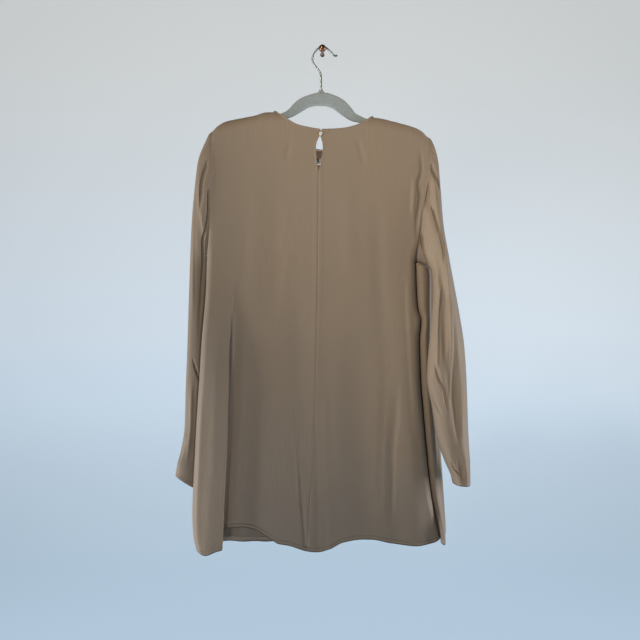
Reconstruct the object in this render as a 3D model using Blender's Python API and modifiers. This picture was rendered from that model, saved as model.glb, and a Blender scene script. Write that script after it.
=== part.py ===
"""A long-sleeved tunic top of thin crepe, on its hanger, which hangs on a wall peg.

Millimetres in the tables, metres in the mesh. +Z is up, the wall is the plane y = 0, and the
origin is the middle of the peg's flat end on the wall. The garment's back faces -Y, away from
the wall, and its front faces the wall.
"""
import math
from collections import namedtuple

import bmesh
import bpy
from mathutils import Vector

MM = 0.001

# Cloth and seams
WALL = 1.2
SEAM_GAP = 0.3
HALF_GAP = SEAM_GAP / 2
HANGER_Y = -30.0

# Armholes: the top at the shoulder tip and the bottom at the underarm
ARM_TOP_LEFT = -161.0
ARM_TOP_RIGHT = -169.0
ARM_LOW_LEFT = -392.0
ARM_LOW_RIGHT = -405.0
ARM_HALF_DEPTH = 17.0
# How far down the armhole each point lies; both the panels and the sleeves use them
ARM_STEPS = (0, 0.004, 0.018, 0.05, 0.09, 0.14, 0.19, 0.24, 0.29, 0.345, 0.45, 0.6, 0.77, 0.92, 1)
ROWS_BELOW_ARM = 15
ROW_EASE = 1.25

# Below the underarm the side seam moves from under the shoulder to its own depth
SEAM_EASE = 45.0

# Rounding of the cloth over the shoulder and at the side
SHOULDER_ROUND = 20.0
SIDE_ROUND = 26.0
# Where the cloth's inner side keeps level with its outer edge, so that seams stay open
X, Y, Z = 0, 1, 2

# Neck
NECK_LEFT = (-91.0, -121.0)
NECK_RIGHT = (95.0, -131.0)
BINDING_RADIUS = 1.5
BINDING_EASE = 0.35

# Body sections, a row for each height: the edges of the back panel, how far the front panel
# reaches at the right, the mean depths of back and front, and where the side seams lie
Section = namedtuple("Section", "z left right side back front seam_left seam_right")
SECTIONS = (
    Section(-100, -211, 201, 201, -40, -20, -30, -30),
    Section(-160, -211, 202, 202, -41, -18, -30, -30),
    Section(-215, -211, 205, 205, -43, -14, -30, -30),
    Section(-268, -213, 197, 197, -45, -11, -30, -30),
    Section(-317, -214, 189, 189, -47, -9, -30, -30),
    Section(-361, -216, 184, 184, -48, -8, -30, -30),
    Section(-405, -218, 182, 192, -50, -8, -33, -30),
    Section(-441, -219, 178, 212, -52, -8, -38, -30),
    Section(-494, -223, 181, 215, -55, -8, -44, -31),
    Section(-553, -228, 184, 217, -57, -8, -47, -32),
    Section(-627, -232, 186, 221, -59, -8, -50, -32),
    Section(-707, -237, 192, 225, -61, -9, -51, -32),
    Section(-787, -241, 199, 227, -62, -10, -52, -32),
    Section(-845, -244, 205, 229, -62, -11, -52, -32),
    Section(-881, -245, 211, 232, -62, -12, -52, -31),
    Section(-921, -243, 219, 233, -62, -12, -52, -31),
    Section(-960, -234, 225, 232, -62, -12, -52, -31),
)

# Centre-back seam and keyhole: the seam's place, and half the opening's width
Centre = namedtuple("Centre", "z x half")
CENTRE = (
    Centre(-100, -2.0, HALF_GAP),
    Centre(-154, -2.4, HALF_GAP),
    Centre(-163, -4.0, 0.4),
    Centre(-172, -5.0, 3.0),
    Centre(-181, -5.6, 6.0),
    Centre(-189, -5.8, 6.8),
    Centre(-199, -6.0, 6.3),
    Centre(-209, -6.2, 5.2),
    Centre(-220, -6.8, 3.7),
    Centre(-229, -7.2, 1.8),
    Centre(-236, -7.5, HALF_GAP),
    Centre(-435, -9.0, HALF_GAP),
    Centre(-594, -12.0, HALF_GAP),
    Centre(-756, -16.5, HALF_GAP),
    Centre(-884, -25.5, HALF_GAP),
    Centre(-960, -28.5, HALF_GAP),
)

# Outlines in the plane of the hanger
Point = namedtuple("Point", "x z")
SHOULDERS = (
    Point(-211, -161), Point(-200, -149), Point(-185, -141), Point(-168, -137), Point(-144, -132.5),
    Point(-122, -128), Point(-107, -123.5), Point(*NECK_LEFT), Point(*NECK_RIGHT), Point(111, -135),
    Point(136, -141), Point(155, -147), Point(174, -151), Point(189, -158.5), Point(201, -169),
)
BACK_NECK = (
    Point(*NECK_LEFT), Point(-73, -134), Point(-46, -149), Point(-20, -154.5), Point(-2, -157),
    Point(33, -156), Point(62, -150), Point(81, -141), Point(*NECK_RIGHT),
)
FRONT_NECK = (
    Point(*NECK_LEFT), Point(-78, -148), Point(-55, -172), Point(-28, -187), Point(2, -192),
    Point(32, -189), Point(60, -177), Point(82, -156), Point(*NECK_RIGHT),
)
BACK_HEM = (
    Point(-246, -944), Point(-234, -947), Point(-222, -949), Point(-205, -945), Point(-192, -936),
    Point(-184, -912), Point(-178, -906), Point(-150, -905), Point(-126, -906), Point(-112, -915),
    Point(-92, -927), Point(-79, -935), Point(-60, -939), Point(-30, -946),
    Point(-8, -948), Point(15, -944), Point(38, -934), Point(75, -929), Point(95, -929),
    Point(130, -935), Point(176, -939), Point(205, -935), Point(222, -929), Point(236, -921),
)
FRONT_HEM = (
    Point(-246, -944), Point(-205, -940), Point(-170, -939), Point(-150, -943), Point(-110, -945),
    Point(-95, -946), Point(-78, -942), Point(-58, -937), Point(-20, -931), Point(60, -926),
    Point(150, -928), Point(205, -930), Point(236, -926),
)

# Folds of the body: a ridge line from its top to the hem, half its width on either side, and
# how far it stands out (a trough has a negative depth)
Fold = namedtuple("Fold", "x_top z_top x_low z_low left right depth")
BACK_FOLDS = (
    Fold(-196, -400, -212, -945, 34, 22, 19),
    Fold(-120, -330, -150, -945, 40, 36, -9),
    Fold(-50, -380, -62, -945, 24, 26, -5),
    Fold(-8, -240, -24, -945, 26, 26, 9),
    Fold(30, -520, 22, -945, 14, 14, 4),
    Fold(60, -420, 78, -945, 38, 40, -9),
    Fold(135, -300, 176, -945, 40, 30, 9),
)
FRONT_FOLDS = (
    Fold(-60, -420, -90, -945, 45, 45, -8),
    Fold(70, -380, 95, -945, 50, 50, -9),
)

# The front steps forward at the left, to pass over the sleeve that hangs behind it
TUCK_Y = -36.0
TUCK_X = (-188.0, -150.0)
TUCK_Z = (-350.0, -480.0)

# At the right the front panel comes round the side to a seam behind the back panel's fold
HOOK_Z = (-385.0, -440.0)
HOOK_FLAT = (20.0, 14.0, 9.0, 4.5, 0.0)
Hook = namedtuple("Hook", "across y")
HOOK = (Hook(0.86, -9.0), Hook(1.0, -13.0), Hook(0.95, -18.0), Hook(0.35, -22.0), Hook(0.0, -29.7))

# Sleeve rings, from the armhole to the cuff: the outer and inner points of each ring, the
# middle of its depth, half its depth, and how far its outer side lies nearer the wall
Ring = namedtuple("Ring", "out_x out_z in_x in_z y half skew")
SLEEVE_LEFT = (
    Ring(-211.3, -161, -217.3, -392, -30, 17, 0),
    Ring(-215.5, -164, -219, -392.5, -30, 18, 0),
    Ring(-225, -184, -221, -394, -30, 19.5, 0),
    Ring(-236, -214, -222, -396, -30, 20, 0),
    Ring(-244, -264, -222.5, -400, -27, 19, 0),
    Ring(-250, -330, -222.5, -410, -24, 18, -2),
    Ring(-254, -400, -221, -432, -20, 15, -3),
    Ring(-257, -478, -212, -486, -18, 13.5, -3),
    Ring(-260, -574, -208, -574, -18, 13, -3),
    Ring(-263, -650, -210, -650, -18, 13, -3),
    Ring(-265, -720, -214, -720, -18, 13, -3),
    Ring(-272, -768, -222, -768, -19, 14, -4),
    Ring(-279, -795, -230.5, -815, -20, 15, -4),
    Ring(-282, -815, -233, -846, -20, 15, -4),
)
SLEEVE_RIGHT = (
    Ring(201.8, -169, 182.5, -405, -30, 17, 0),
    Ring(206.5, -172, 185, -405.5, -30, 18, 0),
    Ring(213, -188, 190, -407, -31, 20, 0),
    Ring(221, -230, 194, -409, -33, 24, 0),
    Ring(228, -280, 198.5, -412, -37, 27, 0),
    Ring(232, -345, 202, -418, -43, 28, 0),
    Ring(239, -400, 204.5, -432, -49, 28, 0),
    Ring(247, -448, 205.5, -460, -54, 27, 0),
    Ring(257, -505, 204.5, -510, -57, 26, 0),
    Ring(266, -565, 200, -565, -58, 25, 0),
    Ring(270, -625, 196, -625, -58, 25, 0),
    Ring(272, -680, 205, -680, -58, 26, 0),
    Ring(274, -735, 213, -732, -57, 28, 0),
    Ring(277, -785, 229, -780, -56, 31, 0),
    Ring(277.5, -812, 242, -810, -55, 33, 0),
    Ring(277, -825, 245, -823, -55, 33, 0),
)
RINGS = 22
# Creases of a sleeve: its middle from outer (0) to inner (1) edge and its height, half its
# reach across and along, how deep it goes in, and whether it lies on the back (-1) or front (1)
Crease = namedtuple("Crease", "across z half_across half_along depth side")
CREASES_LEFT = (
    Crease(0.62, -470, 0.3, 190, 4, -1), Crease(0.45, -600, 0.3, 170, 4, 1),
    Crease(0.4, -745, 0.3, 60, 3, -1),
)
CREASES_RIGHT = (
    Crease(0.45, -300, 0.16, 90, 5, -1), Crease(0.62, -470, 0.3, 120, 8, -1),
    Crease(0.4, -655, 0.3, 110, 9, -1), Crease(0.45, -560, 0.3, 220, 8, 1),
    Crease(0.5, -790, 0.3, 60, 6, -1),
)

# Hanger: beams through a row for each station, with the top and bottom edges there
Station = namedtuple("Station", "x top bottom")
HANGER_THICK = 6.0
ARMS = (
    Station(-222, -184.5, -189.2), Station(-217, -174.5, -189.2), Station(-209, -163.5, -187),
    Station(-198, -151, -174), Station(-184, -143.5, -163), Station(-166, -139, -156),
    Station(-144, -134.9, -150), Station(-122, -130.3, -145), Station(-107, -126, -140),
    Station(-88, -124.3, -137), Station(-70, -119.5, -133), Station(-60, -113.5, -130.5),
    Station(-50, -103.5, -125), Station(-40, -95.5, -119.5), Station(-24, -88.5, -112),
    Station(-8, -84.5, -110), Station(5, -84.5, -110.5), Station(22, -89.5, -115),
    Station(36, -97.5, -124), Station(48, -108.5, -132), Station(60, -120, -137),
    Station(71, -126.5, -139.5), Station(90, -134.2, -147), Station(111, -137.4, -152),
    Station(136, -143.4, -159), Station(155, -149.4, -165), Station(173, -153.3, -170),
    Station(187, -160.3, -179), Station(197, -171, -190), Station(204, -182, -197),
    Station(209.5, -191, -197.3),
)
BAR = (
    Station(-219, -189.6, -195), Station(-213, -189.8, -200), Station(-203, -194, -206),
    Station(-180, -203, -214), Station(-90, -206, -217), Station(0, -208.5, -220),
    Station(90, -211, -222.5), Station(172, -213, -224), Station(190, -206, -217),
    Station(199, -200, -212), Station(205, -197.8, -207), Station(209, -197.8, -203),
)
BEAM_SIDES = 10
NUB_RADII = (6.3, 2.6)
NUB_LOW = -84.0
NUB_TOP = -77.0

# Hook and peg
HOOK_WIRE = 3.6
HOOK_PATH = (
    Point(-2.4, -76.6), Point(-2.6, -66), Point(-2.8, -54), Point(-3.6, -46), Point(-8, -38),
    Point(-13.4, -31), Point(-17.4, -25), Point(-19.2, -18), Point(-17.4, -10.5), Point(-13, -3.6),
    Point(-6.8, 3.2), Point(0, 5.4), Point(6.4, 3.9), Point(12.2, -0.6), Point(17.4, -5.6),
    Point(21.4, -10.2), Point(25, -11.8), Point(28.7, -10.6),
)
PEG_PROFILE = (
    (4.0, 0.0), (4.0, 2.0), (3.0, 4.0), (3.0, 34.6), (5.6, 35.4), (7.0, 37.4), (6.8, 40.4),
    (5.2, 43.2), (2.8, 45.0),
)
PEG_SIDES = 24

# Button and loop
BUTTON_RADIUS = 4.0
BUTTON_THICK = 2.6
BUTTON_AT = Point(-3.4, -163.0)
LOOP_RADIUS = 0.6
LOOP_REACH = 5.2

COLOURS = {
    "cloth": (0.27, 0.21, 0.15, 1.0, 0.75, 0.0),
    "binding": (0.25, 0.19, 0.13, 1.0, 0.7, 0.0),
    "button": (0.75, 0.70, 0.60, 1.0, 0.35, 0.0),
    "hanger": (0.32, 0.34, 0.35, 1.0, 0.9, 0.0),
    "steel": (0.35, 0.38, 0.40, 1.0, 0.3, 1.0),
    "peg": (0.16, 0.08, 0.05, 1.0, 0.35, 1.0),
}


def clear_scene():
    for item in list(bpy.data.objects):
        bpy.data.objects.remove(item, do_unlink=True)


def mix(a, b, t):
    return a + (b - a) * t


def clamp01(t):
    return min(1.0, max(0.0, t))


def smooth(t):
    t = clamp01(t)
    return t * t * (3 - 2 * t)


def through(xs, ys, x):
    """A smooth curve through the points, level or straight past the ends."""
    step = 1 if xs[-1] > xs[0] else -1
    if (x - xs[0]) * step <= 0:
        return ys[0]
    if (x - xs[-1]) * step >= 0:
        return ys[-1]
    i = next(k for k in range(len(xs) - 1) if (xs[k + 1] - x) * step >= 0)
    slopes = [(ys[k + 1] - ys[k]) / (xs[k + 1] - xs[k]) for k in range(len(xs) - 1)]

    def tangent(k):
        if k == 0:
            return slopes[0]
        if k == len(xs) - 1:
            return slopes[-1]
        a, b = slopes[k - 1], slopes[k]
        return 0.0 if a * b <= 0 else 2 * a * b / (a + b)

    width = xs[i + 1] - xs[i]
    t = (x - xs[i]) / width
    h = (2 * t**3 - 3 * t**2 + 1, t**3 - 2 * t**2 + t, -2 * t**3 + 3 * t**2, t**3 - t**2)
    return h[0] * ys[i] + h[1] * width * tangent(i) + h[2] * ys[i + 1] + h[3] * width * tangent(i + 1)


def read(table, column, at, along="z"):
    return through([getattr(r, along) for r in table], [getattr(r, column) for r in table], at)


def section(column, z):
    return read(SECTIONS, column, z)


def outline(points, x):
    return read(points, "z", x, "x")


def arch(t):
    """Half of a round arch: 0 where it springs, 1 at its crown."""
    return math.sqrt(max(0.0, 1 - (1 - clamp01(t))**2))


def armhole_half(z, top, low):
    """Half of the armhole's depth at a height between the shoulder tip and the underarm."""
    c = clamp01((top - z) / (top - low))
    return ARM_HALF_DEPTH * (2 * math.sqrt(c * (1 - c)))**0.8


def edge_y(z, facing, right):
    """Where a panel's edge lies: on the armhole above the underarm, at the side seam below."""
    top, low = (ARM_TOP_RIGHT, ARM_LOW_RIGHT) if right else (ARM_TOP_LEFT, ARM_LOW_LEFT)
    if z > low:
        return HANGER_Y + facing * (armhole_half(z, top, low) + HALF_GAP)
    seam = section("seam_right" if right else "seam_left", z)
    seam = mix(HANGER_Y, seam, clamp01((low - z) / SEAM_EASE))
    return seam + facing * HALF_GAP


def fold_depth(folds, x, z):
    total = 0.0
    for f in folds:
        t = (f.z_top - z) / (f.z_top - f.z_low)
        if t <= 0:
            continue
        across = x - mix(f.x_top, f.x_low, t)
        reach = f.left if across < 0 else f.right
        if abs(across) < reach:
            total += f.depth * smooth(min(1.0, 1.4 * t)) * (0.5 + 0.5 * math.cos(math.pi * across / reach))
    return total


def shoulder_line(x):
    return outline(SHOULDERS, x)


def body_y(x, z, facing):
    """The body's depth away from its edges, rounded over the shoulder line."""
    column, folds = ("back", BACK_FOLDS) if facing < 0 else ("front", FRONT_FOLDS)
    full = section(column, z) + facing * fold_depth(folds, x, z)
    if facing > 0:
        tuck = smooth((TUCK_X[1] - x) / (TUCK_X[1] - TUCK_X[0]))
        tuck *= smooth((TUCK_Z[0] - z) / (TUCK_Z[0] - TUCK_Z[1]))
        full = mix(full, TUCK_Y, tuck)
    crown = arch((shoulder_line(x) - z) / SHOULDER_ROUND)
    return HANGER_Y + facing * HALF_GAP + (full - HANGER_Y) * crown


def panel_point(x, z, facing):
    left, right = section("left", z), section("right", z)
    y = body_y(x, z, facing)
    for inside, is_right in ((x - left, False), (right - x, True)):
        y = mix(edge_y(z, facing, is_right), y, arch(inside / SIDE_ROUND))
    return (x, y, z)


def side_heights(right, hem):
    """Heights of a panel's rows along its left or right edge."""
    top, low = (ARM_TOP_RIGHT, ARM_LOW_RIGHT) if right else (ARM_TOP_LEFT, ARM_LOW_LEFT)
    heights = [mix(top, low, c) for c in ARM_STEPS]
    shares = [((k + 1) / ROWS_BELOW_ARM)**ROW_EASE for k in range(ROWS_BELOW_ARM)]
    heights += [mix(low, hem, t) for t in shares]
    return heights


def column_heights(x_hem, top_z, hem_line, share):
    """Heights of the rows down one column: share is 0 at the left edge and 1 at the right."""
    hem = outline(hem_line, x_hem)
    sides = []
    for right, x_side in ((False, section("left", -945)), (True, section("right", -945))):
        side_hem = outline(hem_line, x_side)
        rows = side_heights(right, side_hem)
        sides.append([(rows[0] - z) / (rows[0] - side_hem) for z in rows])
    return [mix(top_z, hem, mix(a, b, share)) for a, b in zip(*sides)]


def make_object(name, mesh, collection, colour):
    item = bpy.data.objects.new(name, mesh)
    collection.objects.link(item)
    material = bpy.data.materials.new(name + "_finish")
    material.use_nodes = True
    shader = material.node_tree.nodes["Principled BSDF"]
    red, green, blue, alpha, rough, metal = COLOURS[colour]
    shader.inputs["Base Color"].default_value = (red, green, blue, alpha)
    shader.inputs["Roughness"].default_value = rough
    shader.inputs["Metallic"].default_value = metal
    mesh.materials.append(material)
    return item


def inner_side(grid, closed, out, level):
    """The grid moved in by the wall's thickness. Edges stay level in the axes they are given."""
    rows, width = len(grid), len(grid[0])
    inside = []
    for r in range(rows):
        line = []
        for c in range(width):
            before, after = (c - 1) % width if closed else max(c - 1, 0), (c + 1) % width
            after = after if closed else min(c + 1, width - 1)
            across = Vector(grid[r][after]) - Vector(grid[r][before])
            down = Vector(grid[min(r + 1, rows - 1)][c]) - Vector(grid[max(r - 1, 0)][c])
            normal = down.cross(across) * out
            for axis in level(r, c):
                normal[axis] = 0
            line.append(tuple(Vector(grid[r][c]) - normal.normalized() * WALL))
        inside.append(line)
    return inside


def cloth_object(name, grid, collection, level, closed=False, out=1):
    """A wall of cloth between a grid of outer points, each row of them a list, and its inner side."""
    mesh = bpy.data.meshes.new(name)
    bm = bmesh.new()
    skins = []
    for side in (grid, inner_side(grid, closed, out, level)):
        skins.append([[bm.verts.new((x * MM, y * MM, z * MM)) for x, y, z in row] for row in side])
    width = len(grid[0])
    spans = [(i, (i + 1) % width) for i in range(width if closed else width - 1)]
    for skin, turned in zip(skins, (out < 0, out > 0)):
        for upper, lower in zip(skin, skin[1:]):
            for i, k in spans:
                corners = (upper[i], lower[i], lower[k], upper[k])
                bm.faces.new(reversed(corners) if turned else corners)
    outer, inner = skins
    rims = [(outer[r][i], outer[r][k], inner[r][k], inner[r][i]) for r in (0, -1) for i, k in spans]
    if not closed:
        lines = zip(outer, outer[1:], inner, inner[1:])
        rims += [(a[c], b[c], e[c], d[c]) for a, b, d, e in lines for c in (0, -1)]
    for corners in rims:
        bm.faces.new(corners)
    bmesh.ops.recalc_face_normals(bm, faces=bm.faces)
    bm.to_mesh(mesh)
    bm.free()
    mesh.shade_smooth()
    return make_object(name, mesh, collection, "cloth")


def spread(first, last, count, dense_start=False, dense_end=False):
    """Shares between two values, closer together at the dense end."""
    shares = []
    for k in range(1, count + 1):
        t = k / count
        if dense_start:
            t = 1 - math.cos(math.pi / 2 * t)
        if dense_end:
            t = math.sin(math.pi / 2 * t)
        shares.append(mix(first, last, t))
    return shares


def panel_level(columns, neck_columns, centre_column=None):
    """Which axes a panel's inner side keeps at its edges: those in which its neighbour lies."""
    arm_rows = len(ARM_STEPS) - 1

    def level(row, column):
        axes = set()
        if row == 0 and column not in neck_columns:
            axes.add(Y)
        if column == centre_column:
            axes.add(X)
        elif column in (0, columns - 1):
            axes.add(X if row < arm_rows else Y)
        return axes

    return level


def back_half(collection, right):
    """Half of the back, between its side edge and the centre seam."""
    centre_x = read(CENTRE, "x", -157)
    side = "right" if right else "left"
    side_x = section(side, -160)
    neck_x = (NECK_RIGHT if right else NECK_LEFT)[0]
    at_neck = (neck_x - centre_x) / (side_x - centre_x)
    shares = [0.0, 0.03] + spread(0.03, at_neck, 6, dense_end=True)
    shares += spread(at_neck, 1, 8, dense_end=True)
    columns = []
    for share in shares:
        x_top = mix(centre_x, side_x, share)
        neck = share < at_neck - 1e-6
        top_z = outline(BACK_NECK if neck else SHOULDERS, x_top)
        x_hem = mix(read(CENTRE, "x", -945), section(side, -945), share)
        across = (x_top - section("left", -160)) / (section("right", -160) - section("left", -160))
        column = []
        for z in column_heights(x_hem, top_z, BACK_HEM, clamp01(across)):
            seam = read(CENTRE, "x", z) + read(CENTRE, "half", z) * (1 if right else -1)
            column.append(panel_point(mix(seam, section(side, z), share), z, -1))
        columns.append(column)
    neck_count = sum(share < at_neck - 1e-6 for share in shares)
    last = len(columns) - 1
    neck_columns, centre = range(neck_count), 0
    if not right:
        columns.reverse()
        neck_columns, centre = range(last - neck_count + 1, last + 1), last
    grid = [list(row) for row in zip(*columns)]
    level = panel_level(len(columns), neck_columns, centre)
    cloth_object("back_" + side, grid, collection, level)
    corner = neck_columns[-1] + 1 if right else neck_columns[0] - 1
    edge = [grid[0][c] for c in neck_columns]
    return edge, grid[0][corner]


def front_panel(collection):
    left_top, right_top = section("left", -160), section("right", -160)
    width = right_top - left_top
    neck_a = (NECK_LEFT[0] - left_top) / width
    neck_b = (NECK_RIGHT[0] - left_top) / width
    middle = (neck_a + neck_b) / 2
    shares = [0.0] + spread(0, neck_a, 7, dense_start=True)
    shares += spread(neck_a, middle, 7, dense_start=True)
    shares += spread(middle, neck_b, 7, dense_end=True)
    shares += spread(neck_b, 1 - HOOK_FLAT[0] / width, 4)[:-1]
    columns = [front_column(share, (neck_a, neck_b), None) for share in shares]
    for step, back_off in zip(HOOK, HOOK_FLAT):
        columns.append(front_column(1 - back_off / width, (neck_a, neck_b), (step, back_off)))
    grid = [list(row) for row in zip(*columns)]
    neck_columns = [i for i, share in enumerate(shares) if neck_a + 1e-6 < share < neck_b - 1e-6]
    cloth_object("front", grid, collection, panel_level(len(columns), neck_columns), out=-1)
    return [grid[0][c] for c in neck_columns]


def front_column(share, necks, hook):
    """One column of the front. A hook step turns it round the right side, below the underarm."""
    left_top, right_top = section("left", -160), section("right", -160)
    x_top = mix(left_top, right_top, share)
    neck = necks[0] + 1e-6 < share < necks[1] - 1e-6
    top_z = outline(FRONT_NECK if neck else SHOULDERS, x_top)
    x_hem = mix(section("left", -945), section("side", -945), share)
    if hook:
        x_hem = mix(section("right", -945), section("side", -945), hook[0].across)
    last = 1 - HOOK_FLAT[0] / (right_top - left_top)
    column = []
    for z in column_heights(x_hem, top_z, FRONT_HEM, share):
        left, right, side = section("left", z), section("right", z), section("side", z)
        turn = smooth((HOOK_Z[0] - z) / (HOOK_Z[0] - HOOK_Z[1]))
        if hook:
            step, back_off = hook
            flat = panel_point(right - back_off, z, 1)
            depth = (step.y - HOOK[0].y) / (HOOK[-1].y - HOOK[0].y)
            curl = (mix(right, side, step.across), mix(section("front", z), edge_y(z, 1, True), depth), z)
            column.append(tuple(mix(a, b, turn) for a, b in zip(flat, curl)))
            continue
        reach = mix(right - HOOK_FLAT[0], mix(right, side, HOOK[0].across) - 6, turn)
        x = mix(left, reach, share / last)
        y = mix(edge_y(z, 1, False), body_y(x, z, 1), arch((x - left) / SIDE_ROUND))
        y_flat = mix(edge_y(z, 1, True), y, arch((right - x) / SIDE_ROUND))
        column.append((x, mix(y_flat, y, turn), z))
    return column


def sleeve(name, table, creases, collection, right):
    """A tube through rings, each from the outer edge down its back to the inner edge and up."""
    count = len(table) - 1
    grid = []
    stations = [count * k / RINGS for k in range(RINGS + 1)]
    index = list(range(len(table)))
    for s in stations:
        values = {f: through(index, [getattr(r, f) for r in table], s) for f in Ring._fields}
        r = Ring(**values)
        settled = smooth((s - 1) / 4)
        points = []
        steps = len(ARM_STEPS) - 1
        for side, order in ((-1, range(0, steps + 1)), (1, range(steps - 1, 0, -1))):
            for i in order:
                even = (1 - math.cos(math.pi * i / steps)) / 2
                c = mix(ARM_STEPS[i], even, settled)
                round_power = mix(0.8, 1.0, settled)
                bulge = r.half * (2 * math.sqrt(max(0.0, c * (1 - c))))**round_power
                x, z = mix(r.out_x, r.in_x, c), mix(r.out_z, r.in_z, c)
                bow = 1 - smooth((s - 1) / 5)
                if bow > 0:
                    line = section("right" if right else "left", z)
                    straight = mix(table[0].out_x, table[0].in_x, c)
                    x += (line - straight + (SEAM_GAP if right else -SEAM_GAP)) * bow
                y = r.y + side * bulge + r.skew * (1 - 2 * c)
                for f in creases:
                    if f.side == side:
                        a = clamp01(1 - abs(c - f.across) / f.half_across)
                        b = clamp01(1 - abs(z - f.z) / f.half_along)
                        y -= side * f.depth * smooth(a) * smooth(b)
                points.append((x, y, z))
        grid.append(points)
    last = len(grid) - 1

    def level(row, column):
        return {X} if row == 0 else {Z} if row == last else set()

    return cloth_object(name, grid, collection, level, closed=True, out=-1 if right else 1)


def neck_binding(collection, back_left, back_right, front):
    """A rolled binding that lies on the neck edge, from the keyhole round the front and back."""
    edge_left, corner_left = back_left
    edge_right, corner_right = back_right
    turn_left, turn_right = ((x, HANGER_Y, z) for x, _, z in (corner_left, corner_right))
    loop = list(reversed(edge_left)) + [turn_left] + front + [turn_right] + list(reversed(edge_right))
    lift = BINDING_RADIUS + SEAM_GAP + BINDING_EASE
    points = []
    for k, (x, y, z) in enumerate(loop):
        before, after = loop[max(k - 1, 0)], loop[min(k + 1, len(loop) - 1)]
        run = Vector((after[0] - before[0], 0, after[2] - before[2])).normalized()
        up = Vector((-run.z, 0, run.x))
        if up.z < 0:
            up.negate()
        if (x, y, z) in (turn_left, turn_right):
            up = Vector((0.6 if x < 0 else -0.6, 0, 0.8))
        inward = WALL / 2 if y < HANGER_Y else -WALL / 2
        points.append((x + up.x * lift, y + (0 if y == HANGER_Y else inward), z + up.z * lift))
    points[0] = (points[0][0] - BINDING_RADIUS / 2, *points[0][1:])
    points[-1] = (points[-1][0] + BINDING_RADIUS / 2, *points[-1][1:])
    return tube("neck_binding", points, BINDING_RADIUS, collection, "binding", 2)


def tube(name, points, radius, collection, colour, resolution):
    curve = bpy.data.curves.new(name + "_path", "CURVE")
    curve.dimensions = "3D"
    curve.bevel_depth = radius * MM
    curve.bevel_resolution = resolution
    curve.use_fill_caps = True
    spline = curve.splines.new("POLY")
    spline.points.add(len(points) - 1)
    for spot, (x, y, z) in zip(spline.points, points):
        spot.co = (x * MM, y * MM, z * MM, 1)
    return make_object(name, curve, collection, colour)


def beam(name, stations, collection):
    """A bar of the hanger: rounded upright sections, one at each station."""
    mesh = bpy.data.meshes.new(name)
    bm = bmesh.new()
    rings = []
    for s in stations:
        ring = []
        high, mid = (s.top - s.bottom) / 2, (s.top + s.bottom) / 2
        for k in range(BEAM_SIDES):
            a = 2 * math.pi * (k + 0.5) / BEAM_SIDES
            y = HANGER_THICK / 2 * math.copysign(abs(math.cos(a))**0.6, math.cos(a))
            z = high * math.copysign(abs(math.sin(a))**0.6, math.sin(a))
            ring.append(bm.verts.new((s.x * MM, (HANGER_Y + y) * MM, (mid + z) * MM)))
        rings.append(ring)
    for a, b in zip(rings, rings[1:]):
        for k in range(BEAM_SIDES):
            n = (k + 1) % BEAM_SIDES
            bm.faces.new((a[k], a[n], b[n], b[k]))
    bm.faces.new(reversed(rings[0]))
    bm.faces.new(rings[-1])
    bmesh.ops.recalc_face_normals(bm, faces=bm.faces)
    bm.to_mesh(mesh)
    bm.free()
    return make_object(name, mesh, collection, "hanger")


def hanger_nub(collection):
    """The moulded collar that grips the wire."""
    mesh = bpy.data.meshes.new("hanger_nub")
    bm = bmesh.new()
    high = NUB_TOP - NUB_LOW
    bmesh.ops.create_cone(
        bm, cap_ends=True, segments=16, radius1=NUB_RADII[0] * MM, radius2=NUB_RADII[1] * MM,
        depth=high * MM)
    for v in bm.verts:
        v.co.y *= 0.48
        v.co.x += HOOK_PATH[0].x * MM
        v.co.y += HANGER_Y * MM
        v.co.z += (NUB_LOW + SEAM_GAP + high / 2) * MM
    bm.to_mesh(mesh)
    bm.free()
    return make_object("hanger_nub", mesh, collection, "hanger")


def wall_peg(collection):
    """Turned about its own axis, which runs out from the wall."""
    mesh = bpy.data.meshes.new("wall_peg")
    bm = bmesh.new()
    profile = [(0.0, PEG_PROFILE[0][1])] + list(PEG_PROFILE) + [(0.0, 45.6)]
    for radius, out in profile:
        bm.verts.new((radius * MM, -out * MM, 0))
    bm.verts.ensure_lookup_table()
    for k in range(len(profile) - 1):
        bm.edges.new((bm.verts[k], bm.verts[k + 1]))
    bm.to_mesh(mesh)
    bm.free()
    item = make_object("wall_peg", mesh, collection, "peg")
    turn = item.modifiers.new("turn", "SCREW")
    turn.axis = "Y"
    turn.steps = PEG_SIDES
    turn.render_steps = PEG_SIDES
    turn.use_merge_vertices = True
    turn.merge_threshold = 0.00001
    turn.use_normal_calculate = True
    return item


def button(collection):
    mesh = bpy.data.meshes.new("button")
    bm = bmesh.new()
    bmesh.ops.create_cone(
        bm, cap_ends=True, segments=24, radius1=BUTTON_RADIUS * MM, radius2=BUTTON_RADIUS * MM,
        depth=BUTTON_THICK * MM)
    surface = panel_point(BUTTON_AT.x, BUTTON_AT.z, -1)[1] - 0.5
    for v in bm.verts:
        x, y, z = v.co
        v.co = (x + BUTTON_AT.x * MM, z + (surface - BUTTON_THICK / 2) * MM, BUTTON_AT.z * MM - y)
    bmesh.ops.recalc_face_normals(bm, faces=bm.faces)
    bm.to_mesh(mesh)
    bm.free()
    item = make_object("button", mesh, collection, "button")
    edge = item.modifiers.new("edge", "BEVEL")
    edge.width = 0.7 * MM
    edge.segments = 2
    edge.limit_method = "ANGLE"
    return item


def button_loop(collection):
    """A fine loop from the binding round the button's lower side."""
    points = []
    surface = panel_point(BUTTON_AT.x, BUTTON_AT.z, -1)[1] - LOOP_RADIUS - 0.45
    for k in range(13):
        a = math.radians(mix(150, 390, k / 12))
        x = BUTTON_AT.x + LOOP_REACH * math.cos(a)
        z = BUTTON_AT.z + LOOP_REACH * math.sin(a)
        points.append((x, surface, z))
    return tube("button_loop", points, LOOP_RADIUS, collection, "binding", 1)


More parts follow.
